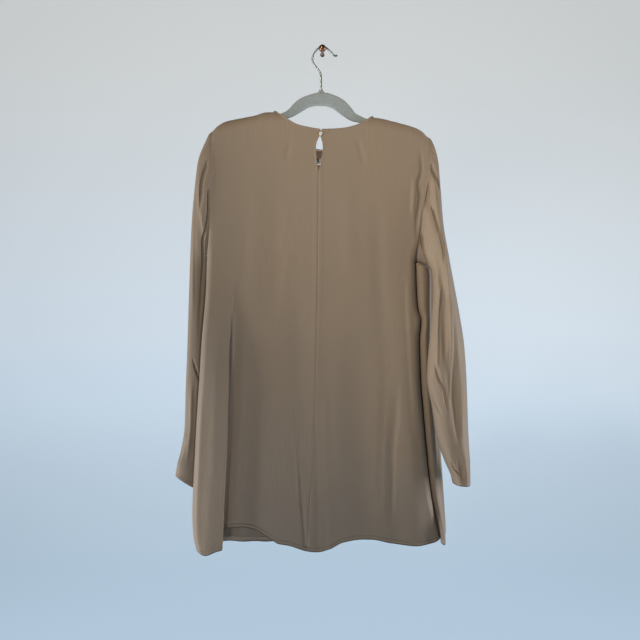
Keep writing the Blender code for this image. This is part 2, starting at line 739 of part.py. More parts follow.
def main():
    clear_scene()
    parts = bpy.data.collections.new("tunic_top")
    bpy.context.scene.collection.children.link(parts)
    back_left = back_half(parts, right=False)
    back_right = back_half(parts, right=True)
    front = front_panel(parts)
    sleeve("sleeve_left", SLEEVE_LEFT, CREASES_LEFT, parts, right=False)
    sleeve("sleeve_right", SLEEVE_RIGHT, CREASES_RIGHT, parts, right=True)
    neck_binding(parts, back_left, back_right, front)
    button(parts)
    button_loop(parts)
    beam("hanger_arms", ARMS, parts)
    beam("hanger_bar", BAR, parts)
    hanger_nub(parts)
    tube("hanger_hook", [(p.x, HANGER_Y, p.z) for p in HOOK_PATH], HOOK_WIRE / 2, parts, "steel", 2)
    wall_peg(parts)


main()
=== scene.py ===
"""The looks of a long-sleeved tunic top of thin crepe, on its hanger, which hangs on a wall peg.

The tables are in millimetres in the row's frame and repeat those of the part's source; the meshes
are in metres. The cloth is built again here as thin shells in its solids' places, with its creases,
seams, hems and stitches.
"""
import math
from collections import namedtuple

import bpy
import numpy as np
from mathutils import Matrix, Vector


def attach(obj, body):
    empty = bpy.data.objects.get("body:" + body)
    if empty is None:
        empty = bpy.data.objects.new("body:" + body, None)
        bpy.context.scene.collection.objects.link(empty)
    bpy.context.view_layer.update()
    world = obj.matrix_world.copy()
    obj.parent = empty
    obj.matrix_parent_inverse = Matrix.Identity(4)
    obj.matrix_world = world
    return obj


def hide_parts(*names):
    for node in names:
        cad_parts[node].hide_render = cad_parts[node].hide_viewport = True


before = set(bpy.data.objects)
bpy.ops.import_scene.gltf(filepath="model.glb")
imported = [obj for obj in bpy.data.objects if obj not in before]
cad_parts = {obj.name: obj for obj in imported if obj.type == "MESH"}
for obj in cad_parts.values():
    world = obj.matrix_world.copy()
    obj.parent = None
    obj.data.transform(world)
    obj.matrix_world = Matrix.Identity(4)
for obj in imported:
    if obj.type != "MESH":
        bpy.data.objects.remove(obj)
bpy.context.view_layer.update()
MM = 0.001

# Cloth and seams
THICK = 0.5
SEAM_GAP = 0.1
HALF_GAP = SEAM_GAP / 2
HANGER_Y = -30.0
HEM_HIGH = 8.0
CUFF_HIGH = 7.0
# How high the hem's folded edge is painted dark, as a painted shadow line
EDGE_SHADE_HIGH = 1.9

# Armholes
ARM_TOP_LEFT = -157.0
ARM_TOP_RIGHT = -167.5
ARM_LOW_LEFT = -392.0
ARM_LOW_RIGHT = -405.0
ARM_HALF_DEPTH = 17.0
SEAM_EASE = 45.0
SHOULDER_ROUND = 20.0
SIDE_ROUND = 13.0

# Neck
NECK_LEFT = (-93.5, -119.5)
NECK_RIGHT = (97.5, -129.5)
BINDING_RADIUS = 1.5
BINDING_EASE = 0.35

# Body sections, a row for each height: the edges of the back panel, how far the front panel
# reaches at the right, the mean depths of back and front, and where the side seams lie
Section = namedtuple("Section", "z left right side back front seam_left seam_right")
SECTIONS = (
    Section(-100, -211, 201, 201, -40, -20, -30, -30),
    Section(-160, -211, 202, 202, -41, -18, -30, -30),
    Section(-215, -211, 205, 205, -43, -14, -30, -30),
    Section(-268, -213, 197, 197, -45, -11, -30, -30),
    Section(-317, -214, 189, 189, -47, -9, -30, -30),
    Section(-361, -216, 184, 184, -48, -8, -30, -30),
    Section(-405, -220.8, 177.5, 212, -50, -8, -33, -30),
    Section(-441, -220.6, 178, 220, -52, -8, -38, -30),
    Section(-494, -223, 181, 218, -55, -8, -44, -31),
    Section(-517, -225, 187, 216, -56, -8, -46, -32),
    Section(-553, -228, 184, 217, -57, -8, -47, -32),
    Section(-627, -232, 186, 221, -59, -8, -50, -32),
    Section(-707, -237, 192, 225, -61, -9, -51, -32),
    Section(-787, -241, 199, 230, -62, -10, -52, -32),
    Section(-845, -244, 206, 234, -62, -11, -52, -35),
    Section(-881, -245, 213, 236, -62, -12, -52, -42),
    Section(-921, -243, 221, 238, -62, -12, -52, -49),
    Section(-960, -234, 227, 237, -62, -12, -52, -49),
)

# Centre-back seam and keyhole: the seam's place, and half the opening's width
Centre = namedtuple("Centre", "z x half")
CENTRE = (
    Centre(-100, -2.0, HALF_GAP),
    Centre(-154, -2.4, HALF_GAP),
    Centre(-163, -4.0, 0.4),
    Centre(-172, -5.0, 3.0),
    Centre(-181, -5.6, 6.0),
    Centre(-189, -5.8, 6.8),
    Centre(-199, -6.0, 6.3),
    Centre(-209, -6.2, 5.2),
    Centre(-220, -6.8, 3.7),
    Centre(-229, -7.2, 1.8),
    Centre(-236, -7.5, HALF_GAP),
    Centre(-435, -9.0, HALF_GAP),
    Centre(-594, -12.0, HALF_GAP),
    Centre(-756, -16.5, HALF_GAP),
    Centre(-884, -25.5, HALF_GAP),
    Centre(-960, -28.5, HALF_GAP),
)

# Outlines in the plane of the hanger
Point = namedtuple("Point", "x z")
SHOULDERS = (
    Point(-211, -157), Point(-199, -145.2), Point(-185, -137.6), Point(-168, -133.6), Point(-144, -129),
    Point(-128, -125.7), Point(-108, -119.8), Point(*NECK_LEFT), Point(*NECK_RIGHT), Point(111, -131.3),
    Point(136, -137.3), Point(155, -142.3), Point(174, -148), Point(189, -155.3), Point(201, -167.5),
)
BACK_NECK = (
    Point(*NECK_LEFT), Point(-73, -134), Point(-46, -149), Point(-20, -154.5), Point(-2, -157),
    Point(33, -156), Point(62, -150), Point(81, -141), Point(*NECK_RIGHT),
)
FRONT_NECK = (
    Point(*NECK_LEFT), Point(-78, -148), Point(-55, -172), Point(-28, -187), Point(2, -192),
    Point(32, -189), Point(60, -177), Point(82, -156), Point(*NECK_RIGHT),
)
BACK_HEM = (
    Point(-246, -945), Point(-234, -949), Point(-220, -954), Point(-204, -949), Point(-191, -942),
    Point(-185.5, -928), Point(-179, -908), Point(-150, -905), Point(-126, -908), Point(-110, -916),
    Point(-94, -927), Point(-83, -935), Point(-64, -939), Point(-30, -950),
    Point(-10, -952), Point(14, -945.5), Point(38, -934), Point(75, -929), Point(95, -929),
    Point(130, -935), Point(176, -939), Point(205, -935), Point(222, -929), Point(236, -921),
)
FRONT_HEM = (
    Point(-246, -944), Point(-205, -940), Point(-188, -938), Point(-165, -936), Point(-140, -935),
    Point(-110, -937), Point(-90, -938), Point(-78, -938), Point(-58, -935), Point(-20, -931), Point(60, -926),
    Point(150, -928), Point(205, -932), Point(224, -937), Point(230, -935), Point(236, -928),
)

# Folds of the body: a ridge line from its top to the hem, half its width on either side, and
# how far it stands out (a trough has a negative depth)
Fold = namedtuple("Fold", "x_top z_top x_low z_low left right depth")
BACK_FOLDS = (
    Fold(-92, -400, -98, -945, 55, 46, 5),
    Fold(-8, -240, -24, -945, 30, 30, 0.8),
    Fold(30, -520, 22, -945, 18, 18, 1),
    Fold(60, -420, 78, -945, 44, 46, -4),
    Fold(135, -300, 176, -945, 44, 34, 5),
)
FRONT_FOLDS = (
    Fold(-60, -420, -90, -945, 45, 45, -8),
    Fold(70, -380, 95, -945, 50, 50, -9),
)

# The front steps forward at the left, to pass over the sleeve that hangs behind it
TUCK_Y = -36.0
TUCK_X = (-188.0, -150.0)
TUCK_Z = (-350.0, -480.0)

# At the right the front panel comes round the side to a seam behind the back panel's fold
HOOK_Z = (-392.0, -418.0)
HOOK_FLAT = (20.0, 15.0, 11.0, 8.0, 5.5, 3.5, 1.6, 0.0)
Hook = namedtuple("Hook", "across y")
HOOK = (Hook(0.86, -9.0), Hook(1.0, -12.0), Hook(0.93, -15.0), Hook(0.72, -19.0), Hook(0.62, -32.0),
        Hook(0.32, -42.0), Hook(0.07, -38.0), Hook(0.0, -29.7))

# Sleeve rings, from the armhole to the cuff: the outer and inner points of each ring, the
# middle of its depth, half its depth, and how far its outer side lies nearer the wall
Ring = namedtuple("Ring", "out_x out_z in_x in_z y half skew")
SLEEVE_LEFT = (
    Ring(-211.3, -157, -217.3, -392, -30, 17, 0),
    Ring(-215.5, -160, -219, -392.5, -30, 18, 0),
    Ring(-225.5, -180, -221, -394, -30, 19.5, 0),
    Ring(-237.5, -212, -221.2, -396, -30, 20, 0),
    Ring(-244, -264, -220.2, -400, -27, 19, 0),
    Ring(-250, -330, -219.5, -410, -24, 18, -2),
    Ring(-254, -400, -217, -432, -20, 15, -3),
    Ring(-257, -478, -212, -486, -18, 13.5, -3),
    Ring(-260, -574, -208, -574, -18, 13, -3),
    Ring(-263, -650, -210, -650, -18, 13, -3),
    Ring(-265, -720, -214, -720, -18, 13, -3),
    Ring(-272, -768, -222, -768, -19, 14, -4),
    Ring(-279, -795, -230.5, -815, -20, 15, -4),
    Ring(-282, -815, -233, -846, -20, 15, -4),
)
SLEEVE_RIGHT = (
    Ring(201.8, -167.5, 182.5, -405, -30, 17, 0),
    Ring(206.5, -171.5, 185, -405.5, -30, 18, 0),
    Ring(213, -188, 190, -407, -31, 20, 0),
    Ring(221, -230, 194, -409, -33, 24, 0),
    Ring(228, -280, 198.5, -412, -37, 27, 0),
    Ring(232, -345, 204, -418, -43, 28, 0),
    Ring(239, -400, 208, -432, -49, 28, 0),
    Ring(247, -448, 208.6, -460, -54, 27, 0),
    Ring(257, -505, 206.4, -510, -57, 26, 0),
    Ring(266, -565, 200, -565, -58, 25, 0),
    Ring(270, -625, 196, -625, -58, 25, 0),
    Ring(272, -680, 205, -680, -58, 26, 0),
    Ring(274, -735, 213, -732, -57, 28, 0),
    Ring(277, -785, 229, -780, -56, 31, 0),
    Ring(277.5, -812, 242, -810, -55, 33, 0),
    Ring(277, -825, 245, -823, -55, 33, 0),
)

# Creases of a sleeve: its middle from outer (0) to inner (1) edge and its height, half its
# reach across and along, how deep it goes in, and whether it lies on the back (-1) or front (1)
Crease = namedtuple("Crease", "across z half_across half_along depth side")
CREASES_LEFT = (
    Crease(0.62, -470, 0.3, 190, 1, -1), Crease(0.45, -600, 0.3, 170, 4, 1),
    Crease(0.4, -745, 0.3, 60, 1, -1),
)
CREASES_RIGHT = (
    Crease(0.45, -300, 0.16, 90, 5, -1), Crease(0.62, -470, 0.3, 120, 8, -1),
    Crease(0.4, -655, 0.3, 110, 9, -1), Crease(0.45, -560, 0.3, 220, 8, 1),
    Crease(0.5, -790, 0.3, 60, 6, -1),
)

# Hanger: beams through a row for each station, with the top and bottom edges there
Station = namedtuple("Station", "x top bottom")
HANGER_THICK = 6.0
ARMS = (
    Station(-222, -184.5, -189.2), Station(-217, -174.5, -189.2), Station(-209, -163.5, -187),
    Station(-198, -151, -174), Station(-184, -143.5, -163), Station(-166, -139, -156),
    Station(-144, -134.9, -150), Station(-122, -130.3, -145), Station(-107, -126, -140),
    Station(-88, -124.3, -137), Station(-70, -118.5, -132), Station(-60, -111.5, -128.5),
    Station(-50, -101.3, -122.8), Station(-40, -93.2, -117.2), Station(-24, -86.2, -109.6),
    Station(-8, -82.2, -107.6), Station(5, -82.2, -108.1), Station(22, -87.2, -112.6),
    Station(36, -95.2, -121.6), Station(48, -106.5, -130), Station(60, -120, -137),
    Station(71, -126.5, -139.5), Station(90, -134.2, -147), Station(111, -137.4, -152),
    Station(136, -143.4, -159), Station(155, -149.4, -165), Station(173, -153.3, -170),
    Station(187, -160.3, -179), Station(197, -171, -190), Station(204, -182, -197),
    Station(209.5, -191, -197.3),
)
BAR = (
    Station(-219, -189.6, -195), Station(-213, -189.8, -200), Station(-203, -194, -206),
    Station(-180, -203, -214), Station(-90, -206, -217), Station(0, -208.5, -220),
    Station(90, -211, -222.5), Station(172, -213, -224), Station(190, -206, -217),
    Station(199, -200, -212), Station(205, -197.8, -207), Station(209, -197.8, -203),
)
BEAM_SIDES = 10
NUB_RADII = (6.3, 2.6)
NUB_LOW = -82.5
NUB_TOP = -77.0

# Hook and peg
HOOK_WIRE = 3.6
HOOK_PATH = (
    Point(-2.4, -76.6), Point(-2.6, -66), Point(-2.8, -54), Point(-3.6, -46), Point(-8, -38),
    Point(-13.4, -31), Point(-17.4, -25), Point(-19.2, -18), Point(-17.4, -10.5), Point(-13, -3.6),
    Point(-6.8, 3.2), Point(0, 5.4), Point(6.4, 3.9), Point(12.2, -0.6), Point(17.4, -5.6),
    Point(21.4, -10.2), Point(25, -11.8), Point(28.7, -10.6),
)
PEG_PROFILE = (
    (4.0, 0.0), (4.0, 2.0), (3.0, 4.0), (3.0, 34.6), (5.6, 35.4), (7.0, 37.4), (6.8, 40.4),
    (5.2, 43.2), (2.8, 45.0),
)
PEG_SIDES = 24

# Button and loop
BUTTON_RADIUS = 4.0
BUTTON_THICK = 2.6
BUTTON_AT = Point(-3.4, -163.0)
LOOP_RADIUS = 0.6
LOOP_REACH = 5.2

# Creases, in millimetres: the points of a line from its top down, its reach to the
# left and right, how far the cloth stands out on it, and the shares of it that fade in and out
Line = namedtuple("Line", "points left right out fade_in fade_out")
BACK_LINES = (
    Line(((-48, -430), (-44, -491), (-46, -554), (-45, -620), (-41, -687), (-37, -773),
          (-35, -843), (-36, -945)), 26, 34, -2.1, 0.35, 0),
    Line(((-51, -720), (-47, -790), (-43, -850), (-37, -900), (-33, -945)), 6, 9, -1.7, 0.35, 0.03),
    Line(((-14, -650), (-12, -760), (-10, -945)), 11, 14, -1.7, 0.35, 0),
    Line(((2, -620), (4.6, -680), (8, -750), (10.4, -831), (12.3, -891), (13, -945)),
         10, 12, 1.0, 0.3, 0),
    Line(((142, -600), (138, -692), (131, -773), (130, -842), (126, -905)), 16, 9, -1.8, 0.4, 0.15),
    Line(((119, -590), (116, -657), (111, -760), (107, -889)), 12, 8, -0.8, 0.4, 0.3),
    Line(((184, -186), (187.5, -234), (182, -260), (185.5, -282), (179, -328), (177, -372)),
         5, 6, -3.4, 0.2, 0.35),
    Line(((176, -232), (173, -284), (170, -338)), 7, 6, 1.6, 0.4, 0.4),
    Line(((-205, -186), (-206, -226), (-204, -270)), 4, 5, -1.1, 0.3, 0.4),
    Line(((-124, -190), (-127, -400), (-134, -620)), 24, 30, 0.9, 0.4, 0.4),
    Line(((-86, -220), (-88, -380), (-92, -560)), 18, 22, -0.7, 0.5, 0.4),
    Line(((48, -205), (50, -330), (55, -500)), 26, 22, 0.8, 0.4, 0.5),
    Line(((102, -240), (106, -400), (112, -580)), 22, 20, -0.8, 0.4, 0.4),
    Line(((-104, -600), (-109, -740), (-118, -945)), 24, 20, 0.6, 0.5, 0),
    Line(((-78, -690), (-80, -800), (-86, -945)), 13, 14, -0.6, 0.5, 0),
    Line(((52, -640), (50, -760), (46, -945)), 16, 18, -0.7, 0.5, 0),
    Line(((160, -400), (166, -560), (178, -760)), 9, 12, 1.6, 0.3, 0.3),
    Line(((-226, -640), (-229, -760), (-233, -930)), 8, 11, 0.7, 0.3, 0.1),
    Line(((-204, -560), (-209, -700), (-215, -860)), 12, 10, -0.6, 0.4, 0.3),
    Line(((-157, -440), (-160, -500), (-163, -560), (-166, -640), (-170, -740), (-176, -830),
          (-181, -900), (-184, -950)), 8, 16, -2.5, 0.3, 0),
    Line(((-60, -172), (-66, -196), (-74, -224)), 9, 8, -0.9, 0.2, 0.5),
    Line(((66, -168), (72, -198), (80, -232)), 8, 9, -1.0, 0.2, 0.5),
)
FRONT_LINES = (
    Line(((-58, -205), (-62, -330), (-70, -470)), 18, 24, 1.8, 0.4, 0.4),
    Line(((6, -240), (4, -420), (-4, -700)), 20, 17, -1.6, 0.3, 0.4),
    Line(((58, -220), (66, -380), (78, -560)), 24, 20, 2.0, 0.4, 0.4),
    Line(((-20, -470), (-26, -640), (-34, -932)), 22, 26, -4.0, 0.4, 0),
    Line(((22, -560), (26, -720), (34, -930)), 13, 16, 3.0, 0.4, 0),
    Line(((134, -420), (142, -600), (150, -930)), 22, 16, -4.0, 0.4, 0),
    Line(((-112, -520), (-118, -700), (-124, -930)), 24, 18, 3.4, 0.4, 0),
    Line(((-142, -790), (-142, -880), (-142, -950)), 110, 92, -38, 0.7, 0),
    Line(((-190, -200), (-187, -250), (-190, -310)), 6, 5, -2.2, 0.3, 0.4),
    Line(((182, -205), (178, -262), (181, -330)), 5, 7, -2.6, 0.3, 0.4),
)
LEFT_BACK_LINES = (
    Line(((-219.5, -214), (-221.5, -224), (-227.4, -242.8), (-231, -269.7), (-231.5, -298.5),
          (-231, -318)), 2.2, 8, -4.6, 0.15, 0.4),
    Line(((-216.5, -262), (-217.4, -309), (-220.8, -335), (-225, -353), (-228.4, -370),
          (-228.8, -400), (-232, -448), (-233.9, -484), (-236.6, -519), (-237, -562)),
         2.2, 6, -5.0, 0.05, 0.6),
    Line(((-248.5, -586), (-244.8, -606), (-241, -617), (-237, -628.5), (-234, -638)),
         1.8, 4, -4.4, 0.5, 0.08),
    Line(((-219, -400), (-222, -441), (-225.5, -494), (-230.5, -553), (-234.5, -627), (-239.5, -707),
          (-243.5, -787), (-246, -834)), 3, 12, -4.5, 0.08, 0),
    Line(((-249, -620), (-251, -670), (-252, -717), (-256, -765), (-262, -802)), 6, 6, 1.8, 0.3, 0.3),
    Line(((-243, -236), (-246, -330), (-248, -420), (-249, -530)), 6, 6, 1.6, 0.3, 0.3),
    Line(((-262, -742), (-270, -770), (-276, -790)), 5, 6, -1.6, 0.3, 0.3),
    Line(((-239, -690), (-240, -730), (-246, -775)), 6, 5, -0.6, 0.4, 0.4),
)
LEFT_FRONT_LINES = (
    Line(((-222, -214), (-229, -244), (-233, -282), (-232, -318)), 8, 2.5, -3.4, 0.2, 0.4),
    Line(((-236, -300), (-240, -380), (-242, -470)), 5, 9, -3.4, 0.3, 0.4),
    Line(((-228, -420), (-232, -520), (-238, -640)), 7, 6, 2.0, 0.3, 0.4),
    Line(((-252, -600), (-244, -630), (-234, -652)), 4, 7, -3.6, 0.3, 0.3),
    Line(((-243, -680), (-248, -740), (-258, -790)), 6, 6, -2.0, 0.4, 0.3),
)
RIGHT_BACK_LINES = (
    Line(((185.4, -352), (188, -372), (193, -393), (200.6, -414), (205.4, -428)), 2.2, 6, -5.0, 0.1, 0.1),
    Line(((200, -211), (204.7, -222.4), (212.2, -237.5), (217.3, -254.2), (221.4, -269.5),
          (223.5, -288)), 7, 2.2, -4.6, 0.2, 0.3),
    Line(((204, -292), (208.3, -309.6), (212.4, -329.6), (217.5, -351.3), (221.2, -369),
          (225.5, -400.7), (226.6, -420)), 2.8, 7, -5.0, 0.2, 0.35),
    Line(((226, -356), (227.9, -380.5), (231.2, -416.4), (234.2, -453.2), (235.6, -484)),
         5, 4, 2.4, 0.3, 0.3),
    Line(((222.4, -438), (219.9, -457.8), (213.8, -503.2), (212.7, -536), (211.8, -598), (213, -630)),
         4.5, 5, 2.8, 0.25, 0.25),
    Line(((236.3, -484), (237.4, -515.5), (238.5, -577.3), (237, -609), (237, -643.5),
          (229.3, -690)), 5, 5, 2.8, 0.25, 0.3),
    Line(((225, -500), (226, -560), (225, -625)), 7, 7, -3.2, 0.4, 0.4),
    Line(((207, -592), (210.3, -605), (213, -620), (222.3, -643.5), (229.3, -684.6), (232, -704)),
         3, 7, -3.8, 0.2, 0.35),
    Line(((202.5, -655), (209.2, -671.4), (216, -685), (222, -697)), 3, 3.4, -3.2, 0.1, 0.5),
    Line(((239, -776), (242.9, -790.3), (249.9, -799.3), (254, -807)), 2.6, 3, -3.0, 0.3, 0.3),
    Line(((250.5, -783), (254.4, -799.3), (256.6, -813)), 2.6, 2.6, -2.4, 0.3, 0.1),
    Line(((246, -500), (252, -600), (257, -700), (260, -780)), 8, 7, 1.8, 0.3, 0.3),
    Line(((244, -640), (246, -700), (252, -760)), 6, 6, -1.8, 0.4, 0.4),
    Line(((215, -212), (222, -240), (227, -276)), 3, 3, 1.2, 0.3, 0.4),
)
RIGHT_FRONT_LINES = (
    Line(((205, -214), (214, -244), (221, -276)), 2.5, 7, -3.6, 0.2, 0.4),
    Line(((210, -300), (220, -352), (228, -412)), 3, 7, -3.6, 0.3, 0.4),
    Line(((218, -440), (224, -520), (226, -600)), 6, 7, 2.6, 0.3, 0.4),
    Line(((246, -480), (252, -560), (256, -660)), 6, 6, -2.4, 0.3, 0.4),
    Line(((212, -640), (222, -668), (236, -694)), 4, 6, -3.4, 0.3, 0.4),
    Line(((246, -720), (252, -760), (258, -800)), 5, 5, -2.2, 0.4, 0.2),
)

# The soft roll at the left of the back: the line of its right edge, its top and height, the width
# over which it drops, how far its edge leans out over the drop, and how it falls off to the left
ROLL_EDGE = (
    (-155, -400), (-163, -460), (-167.4, -479.5), (-171, -535.4), (-174.5, -591.4), (-176, -651),
    (-177.8, -729.4), (-179.8, -781.6), (-183.2, -843.1), (-185.8, -913.9), (-187.4, -945),
)
ROLL_TOP = -430.0
ROLL_FULL = -660.0
ROLL_HIGH = 17.0
ROLL_DROP = 4.5
ROLL_LEAN = 6.5
ROLL_FALL = (20.0, 58.0, 0.4)

# Gathers at a sleeve's head: the place from its outer (0) to its inner (1) edge, half its width
# there, its length down the sleeve, its depth, and whether it lies on the back (-1) or front (1)
Gather = namedtuple("Gather", "across half long deep side")
GATHERS = (
    Gather(0.015, 0.02, 34, 1.7, -1), Gather(0.055, 0.022, 26, 1.3, -1),
    Gather(0.105, 0.02, 40, 1.6, -1), Gather(0.155, 0.022, 22, 1.1, -1),
    Gather(0.215, 0.025, 30, 1.2, -1), Gather(0.29, 0.03, 18, 0.8, -1),
    Gather(0.02, 0.02, 28, 1.5, 1), Gather(0.065, 0.024, 36, 1.6, 1),
    Gather(0.12, 0.02, 24, 1.2, 1), Gather(0.175, 0.026, 32, 1.2, 1),
    Gather(0.25, 0.028, 20, 0.9, 1),
)

# Sewing
PUCKER_PITCH = 17.0
STITCH_PITCH = 2.9
STITCH_LONG = 2.0
STITCH_RADIUS = 0.22
HEM_ROWS = (7.2, 4.8)
CUFF_ROWS = (6.2,)

MESHES = []


def mix(a, b, t):
    return a + (b - a) * t


def clamp01(t):
    return np.clip(t, 0.0, 1.0)


def smooth(t):
    t = clamp01(t)
    return t * t * (3 - 2 * t)


def bell(t):
    """1 at 0, falling to 0 at -1 and 1."""
    return 0.5 + 0.5 * np.cos(np.pi * np.clip(t, -1, 1))


def through(xs, ys, x):
    """A smooth curve through the points, level past the ends."""
    xs, ys = np.asarray(xs, float), np.asarray(ys, float)
    if xs[0] > xs[-1]:
        xs, ys = xs[::-1], ys[::-1]
    x = np.clip(x, xs[0], xs[-1])
    slopes = np.diff(ys) / np.diff(xs)
    a, b = slopes[:-1], slopes[1:]
    same = a * b > 0
    inner = np.where(same, 2 * a * b / np.where(same, a + b, 1), 0)
    tangents = np.concatenate([slopes[:1], inner, slopes[-1:]])
    i = np.clip(np.searchsorted(xs, x, side="right") - 1, 0, len(xs) - 2)
    width = xs[i + 1] - xs[i]
    t = (x - xs[i]) / width
    return ((2 * t**3 - 3 * t**2 + 1) * ys[i] + (t**3 - 2 * t**2 + t) * width * tangents[i]
            + (3 * t**2 - 2 * t**3) * ys[i + 1] + (t**3 - t**2) * width * tangents[i + 1])


def read(table, column, at, along="z"):
    return through([getattr(r, along) for r in table], [getattr(r, column) for r in table], at)


def section(column, z):
    return read(SECTIONS, column, z)


def outline(points, x):
    return read(points, "z", x, "x")


def arch(t):
    """Half of a round arch: 0 where it springs, 1 at its crown."""
    return np.sqrt(np.maximum(0.0, 1 - (1 - clamp01(t))**2))


def armhole_half(z, top, low):
    c = clamp01((top - z) / (top - low))
    return ARM_HALF_DEPTH * (2 * np.sqrt(c * (1 - c)))**0.8


def edge_y(z, facing, right):
    """Where a panel's edge lies: on the armhole above the underarm, at the side seam below."""
    top, low = (ARM_TOP_RIGHT, ARM_LOW_RIGHT) if right else (ARM_TOP_LEFT, ARM_LOW_LEFT)
    on_arm = HANGER_Y + facing * (armhole_half(z, top, low) + HALF_GAP)
    seam = section("seam_right" if right else "seam_left", z)
    seam = mix(HANGER_Y, seam, clamp01((low - z) / SEAM_EASE))
    return np.where(z > low, on_arm, seam + facing * HALF_GAP)


def fold_depth(folds, x, z):
    total = np.zeros(np.broadcast(x, z).shape)
    for f in folds:
        t = clamp01((f.z_top - z) / (f.z_top - f.z_low))
        across = x - mix(f.x_top, f.x_low, t)
        reach = np.where(across < 0, f.left, f.right)
        total += f.depth * smooth(1.4 * t) * bell(across / reach)
    return total


def line_push(lines, x, z):
    """How far the listed creases push the cloth out."""
    total = np.zeros(np.broadcast(x, z).shape)
    for line in lines:
        xs, zs = [p[0] for p in line.points], [p[1] for p in line.points]
        t = (zs[0] - z) / (zs[0] - zs[-1])
        across = x - through(zs, xs, z)
        run = smooth(t / line.fade_in)
        if line.fade_out:
            run = run * smooth((1 - t) / line.fade_out)
        total += line.out * run * bell(across / np.where(across < 0, line.left, line.right))
    return total


def roll_shape(x, z):
    """The roll at the left: how far it stands out, and how far its edge leans to the right."""
    edge = through([p[1] for p in ROLL_EDGE], [p[0] for p in ROLL_EDGE], z)
    high = ROLL_HIGH * smooth((ROLL_TOP - z) / (ROLL_TOP - ROLL_FULL))
    inside = edge - x
    start, end, loss = ROLL_FALL
    crown = smooth((inside + 1) / ROLL_DROP) * (1 - loss * smooth((inside - start) / (end - start)))
    lean = ROLL_LEAN * (bell((inside - 5) / 6) - 0.7 * bell((inside + 1) / 5))
    return high * crown, lean * high / ROLL_HIGH


def shoulder_line(x):
    return outline(SHOULDERS, x)


def body_y(x, z, facing):
    """The body's depth away from its edges, rounded over the shoulder line."""
    back = facing < 0
    column, folds, lines = ("back", BACK_FOLDS, BACK_LINES) if back else ("front", FRONT_FOLDS, FRONT_LINES)
    push = fold_depth(folds, x, z) + line_push(lines, x, z)
    if back:
        push = push + roll_shape(x, z)[0]
    full = section(column, z) + facing * push
    if not back:
        tuck = smooth((TUCK_X[1] - x) / (TUCK_X[1] - TUCK_X[0]))
        tuck = tuck * smooth((TUCK_Z[0] - z) / (TUCK_Z[0] - TUCK_Z[1]))
        full = mix(full, TUCK_Y, tuck)
    crown = arch((shoulder_line(x) - z) / SHOULDER_ROUND)
    return HANGER_Y + facing * HALF_GAP + (full - HANGER_Y) * crown


def panel_y(x, z, facing):
    y = body_y(x, z, facing)
    for inside, is_right in ((x - section("left", z), False), (section("right", z) - x, True)):
        y = mix(edge_y(z, facing, is_right), y, arch(inside / SIDE_ROUND))
    return y


def quarter(reach, count):
    """Steps over a rounded edge, close together where it springs."""
    return reach * (1 - np.cos(np.linspace(0, math.pi / 2, count)))


def row_shares(right, hem_line):
    """Shares of the way down a panel's edge, closer at the shoulder, the underarm and the hem."""
    top, low = (ARM_TOP_RIGHT, ARM_LOW_RIGHT) if right else (ARM_TOP_LEFT, ARM_LOW_LEFT)
    hem = outline(hem_line, section("right" if right else "left", -945))
    arm = top - low
    down = [quarter(SHOULDER_ROUND, 13), np.linspace(SHOULDER_ROUND, arm - 6, 58)[1:]]
    down += [arm + np.array([-4, -2.4, -1.2, -0.5, 0, 0.6, 1.6, 3, 5])]
    down += [np.linspace(arm + 5, top - hem - 12, 128)[1:], top - hem - np.array([10, 9, 8, 7, 6, 4, 2.6, 1.8, 1.2, 0.7, 0])]
    return np.concatenate(down) / (top - hem)


def panel_rows(top_z, hem_z, across, hem_line):
    """Heights of the rows, one column of them for each column of the panel."""
    left, right = row_shares(False, hem_line), row_shares(True, hem_line)
    shares = mix(left[:, None], right[:, None], clamp01(across)[None, :])
    return mix(top_z[None, :], hem_z[None, :], shares)


def cloth_normals(grid, closed, out):
    if closed:
        across = np.roll(grid, -1, 1) - np.roll(grid, 1, 1)
    else:
        across = np.gradient(grid, axis=1)
    normal = np.cross(np.gradient(grid, axis=0), across) * out
    size = np.linalg.norm(normal, axis=2, keepdims=True)
    return normal / np.where(size > 1e-9, size, 1)


def shell(name, grid, uv, mark, closed=False, out=1, thick=THICK):
    """A closed thin wall of cloth. The grid is its outer side; mark is 1 in its hem, which is painted lighter as
    painted light, and 2 on its folded edge, which is painted dark as a painted shadow line.
    """
    rows, width = grid.shape[:2]
    inner = grid - cloth_normals(grid, closed, out) * thick
    points = np.concatenate([grid.reshape(-1, 3), inner.reshape(-1, 3)]) * MM
    r, c = (a.ravel() for a in np.meshgrid(np.arange(rows - 1), np.arange(width - (not closed)), indexing="ij"))
    skin = [np.stack([r, r + 1, r + 1, r], 1), np.stack([c, c, c + 1, c + 1], 1)]
    faces = [(*skin, np.zeros_like(skin[0]), out < 0), (*skin, np.ones_like(skin[0]), out > 0)]
    c = np.arange(width - (not closed))
    layers = np.tile([0, 0, 1, 1], (len(c), 1))
    for row, turn in ((0, out < 0), (rows - 1, out > 0)):
        faces.append((np.full((len(c), 4), row), np.stack([c, c + 1, c + 1, c], 1), layers, turn))
    if not closed:
        r = np.arange(rows - 1)
        layers = np.tile([0, 0, 1, 1], (len(r), 1))
        for column, turn in ((0, out > 0), (width - 1, out < 0)):
            faces.append((np.stack([r, r + 1, r + 1, r], 1), np.full((len(r), 4), column), layers, turn))
    corners, spots = [], []
    for row, column, layer, turn in faces:
        index = layer * rows * width + row * width + column % width
        spot = uv[row, column]
        corners.append(index[:, ::-1] if turn else index)
        spots.append(spot[:, ::-1] if turn else spot)
    mesh = bpy.data.meshes.new(name)
    mesh.from_pydata(points.tolist(), [], np.concatenate(corners).tolist())
    layer = mesh.uv_layers.new(name="UVMap")
    layer.data.foreach_set("uv", np.concatenate(spots).astype(np.float32).ravel())
    hem = mesh.attributes.new("hem", "FLOAT", "POINT")
    hem.data.foreach_set("value", np.tile(mark.ravel(), 2).astype(np.float32))
    mesh.shade_smooth()
    mesh.set_sharp_from_angle(angle=math.radians(60))
    return finish_piece(name, mesh)


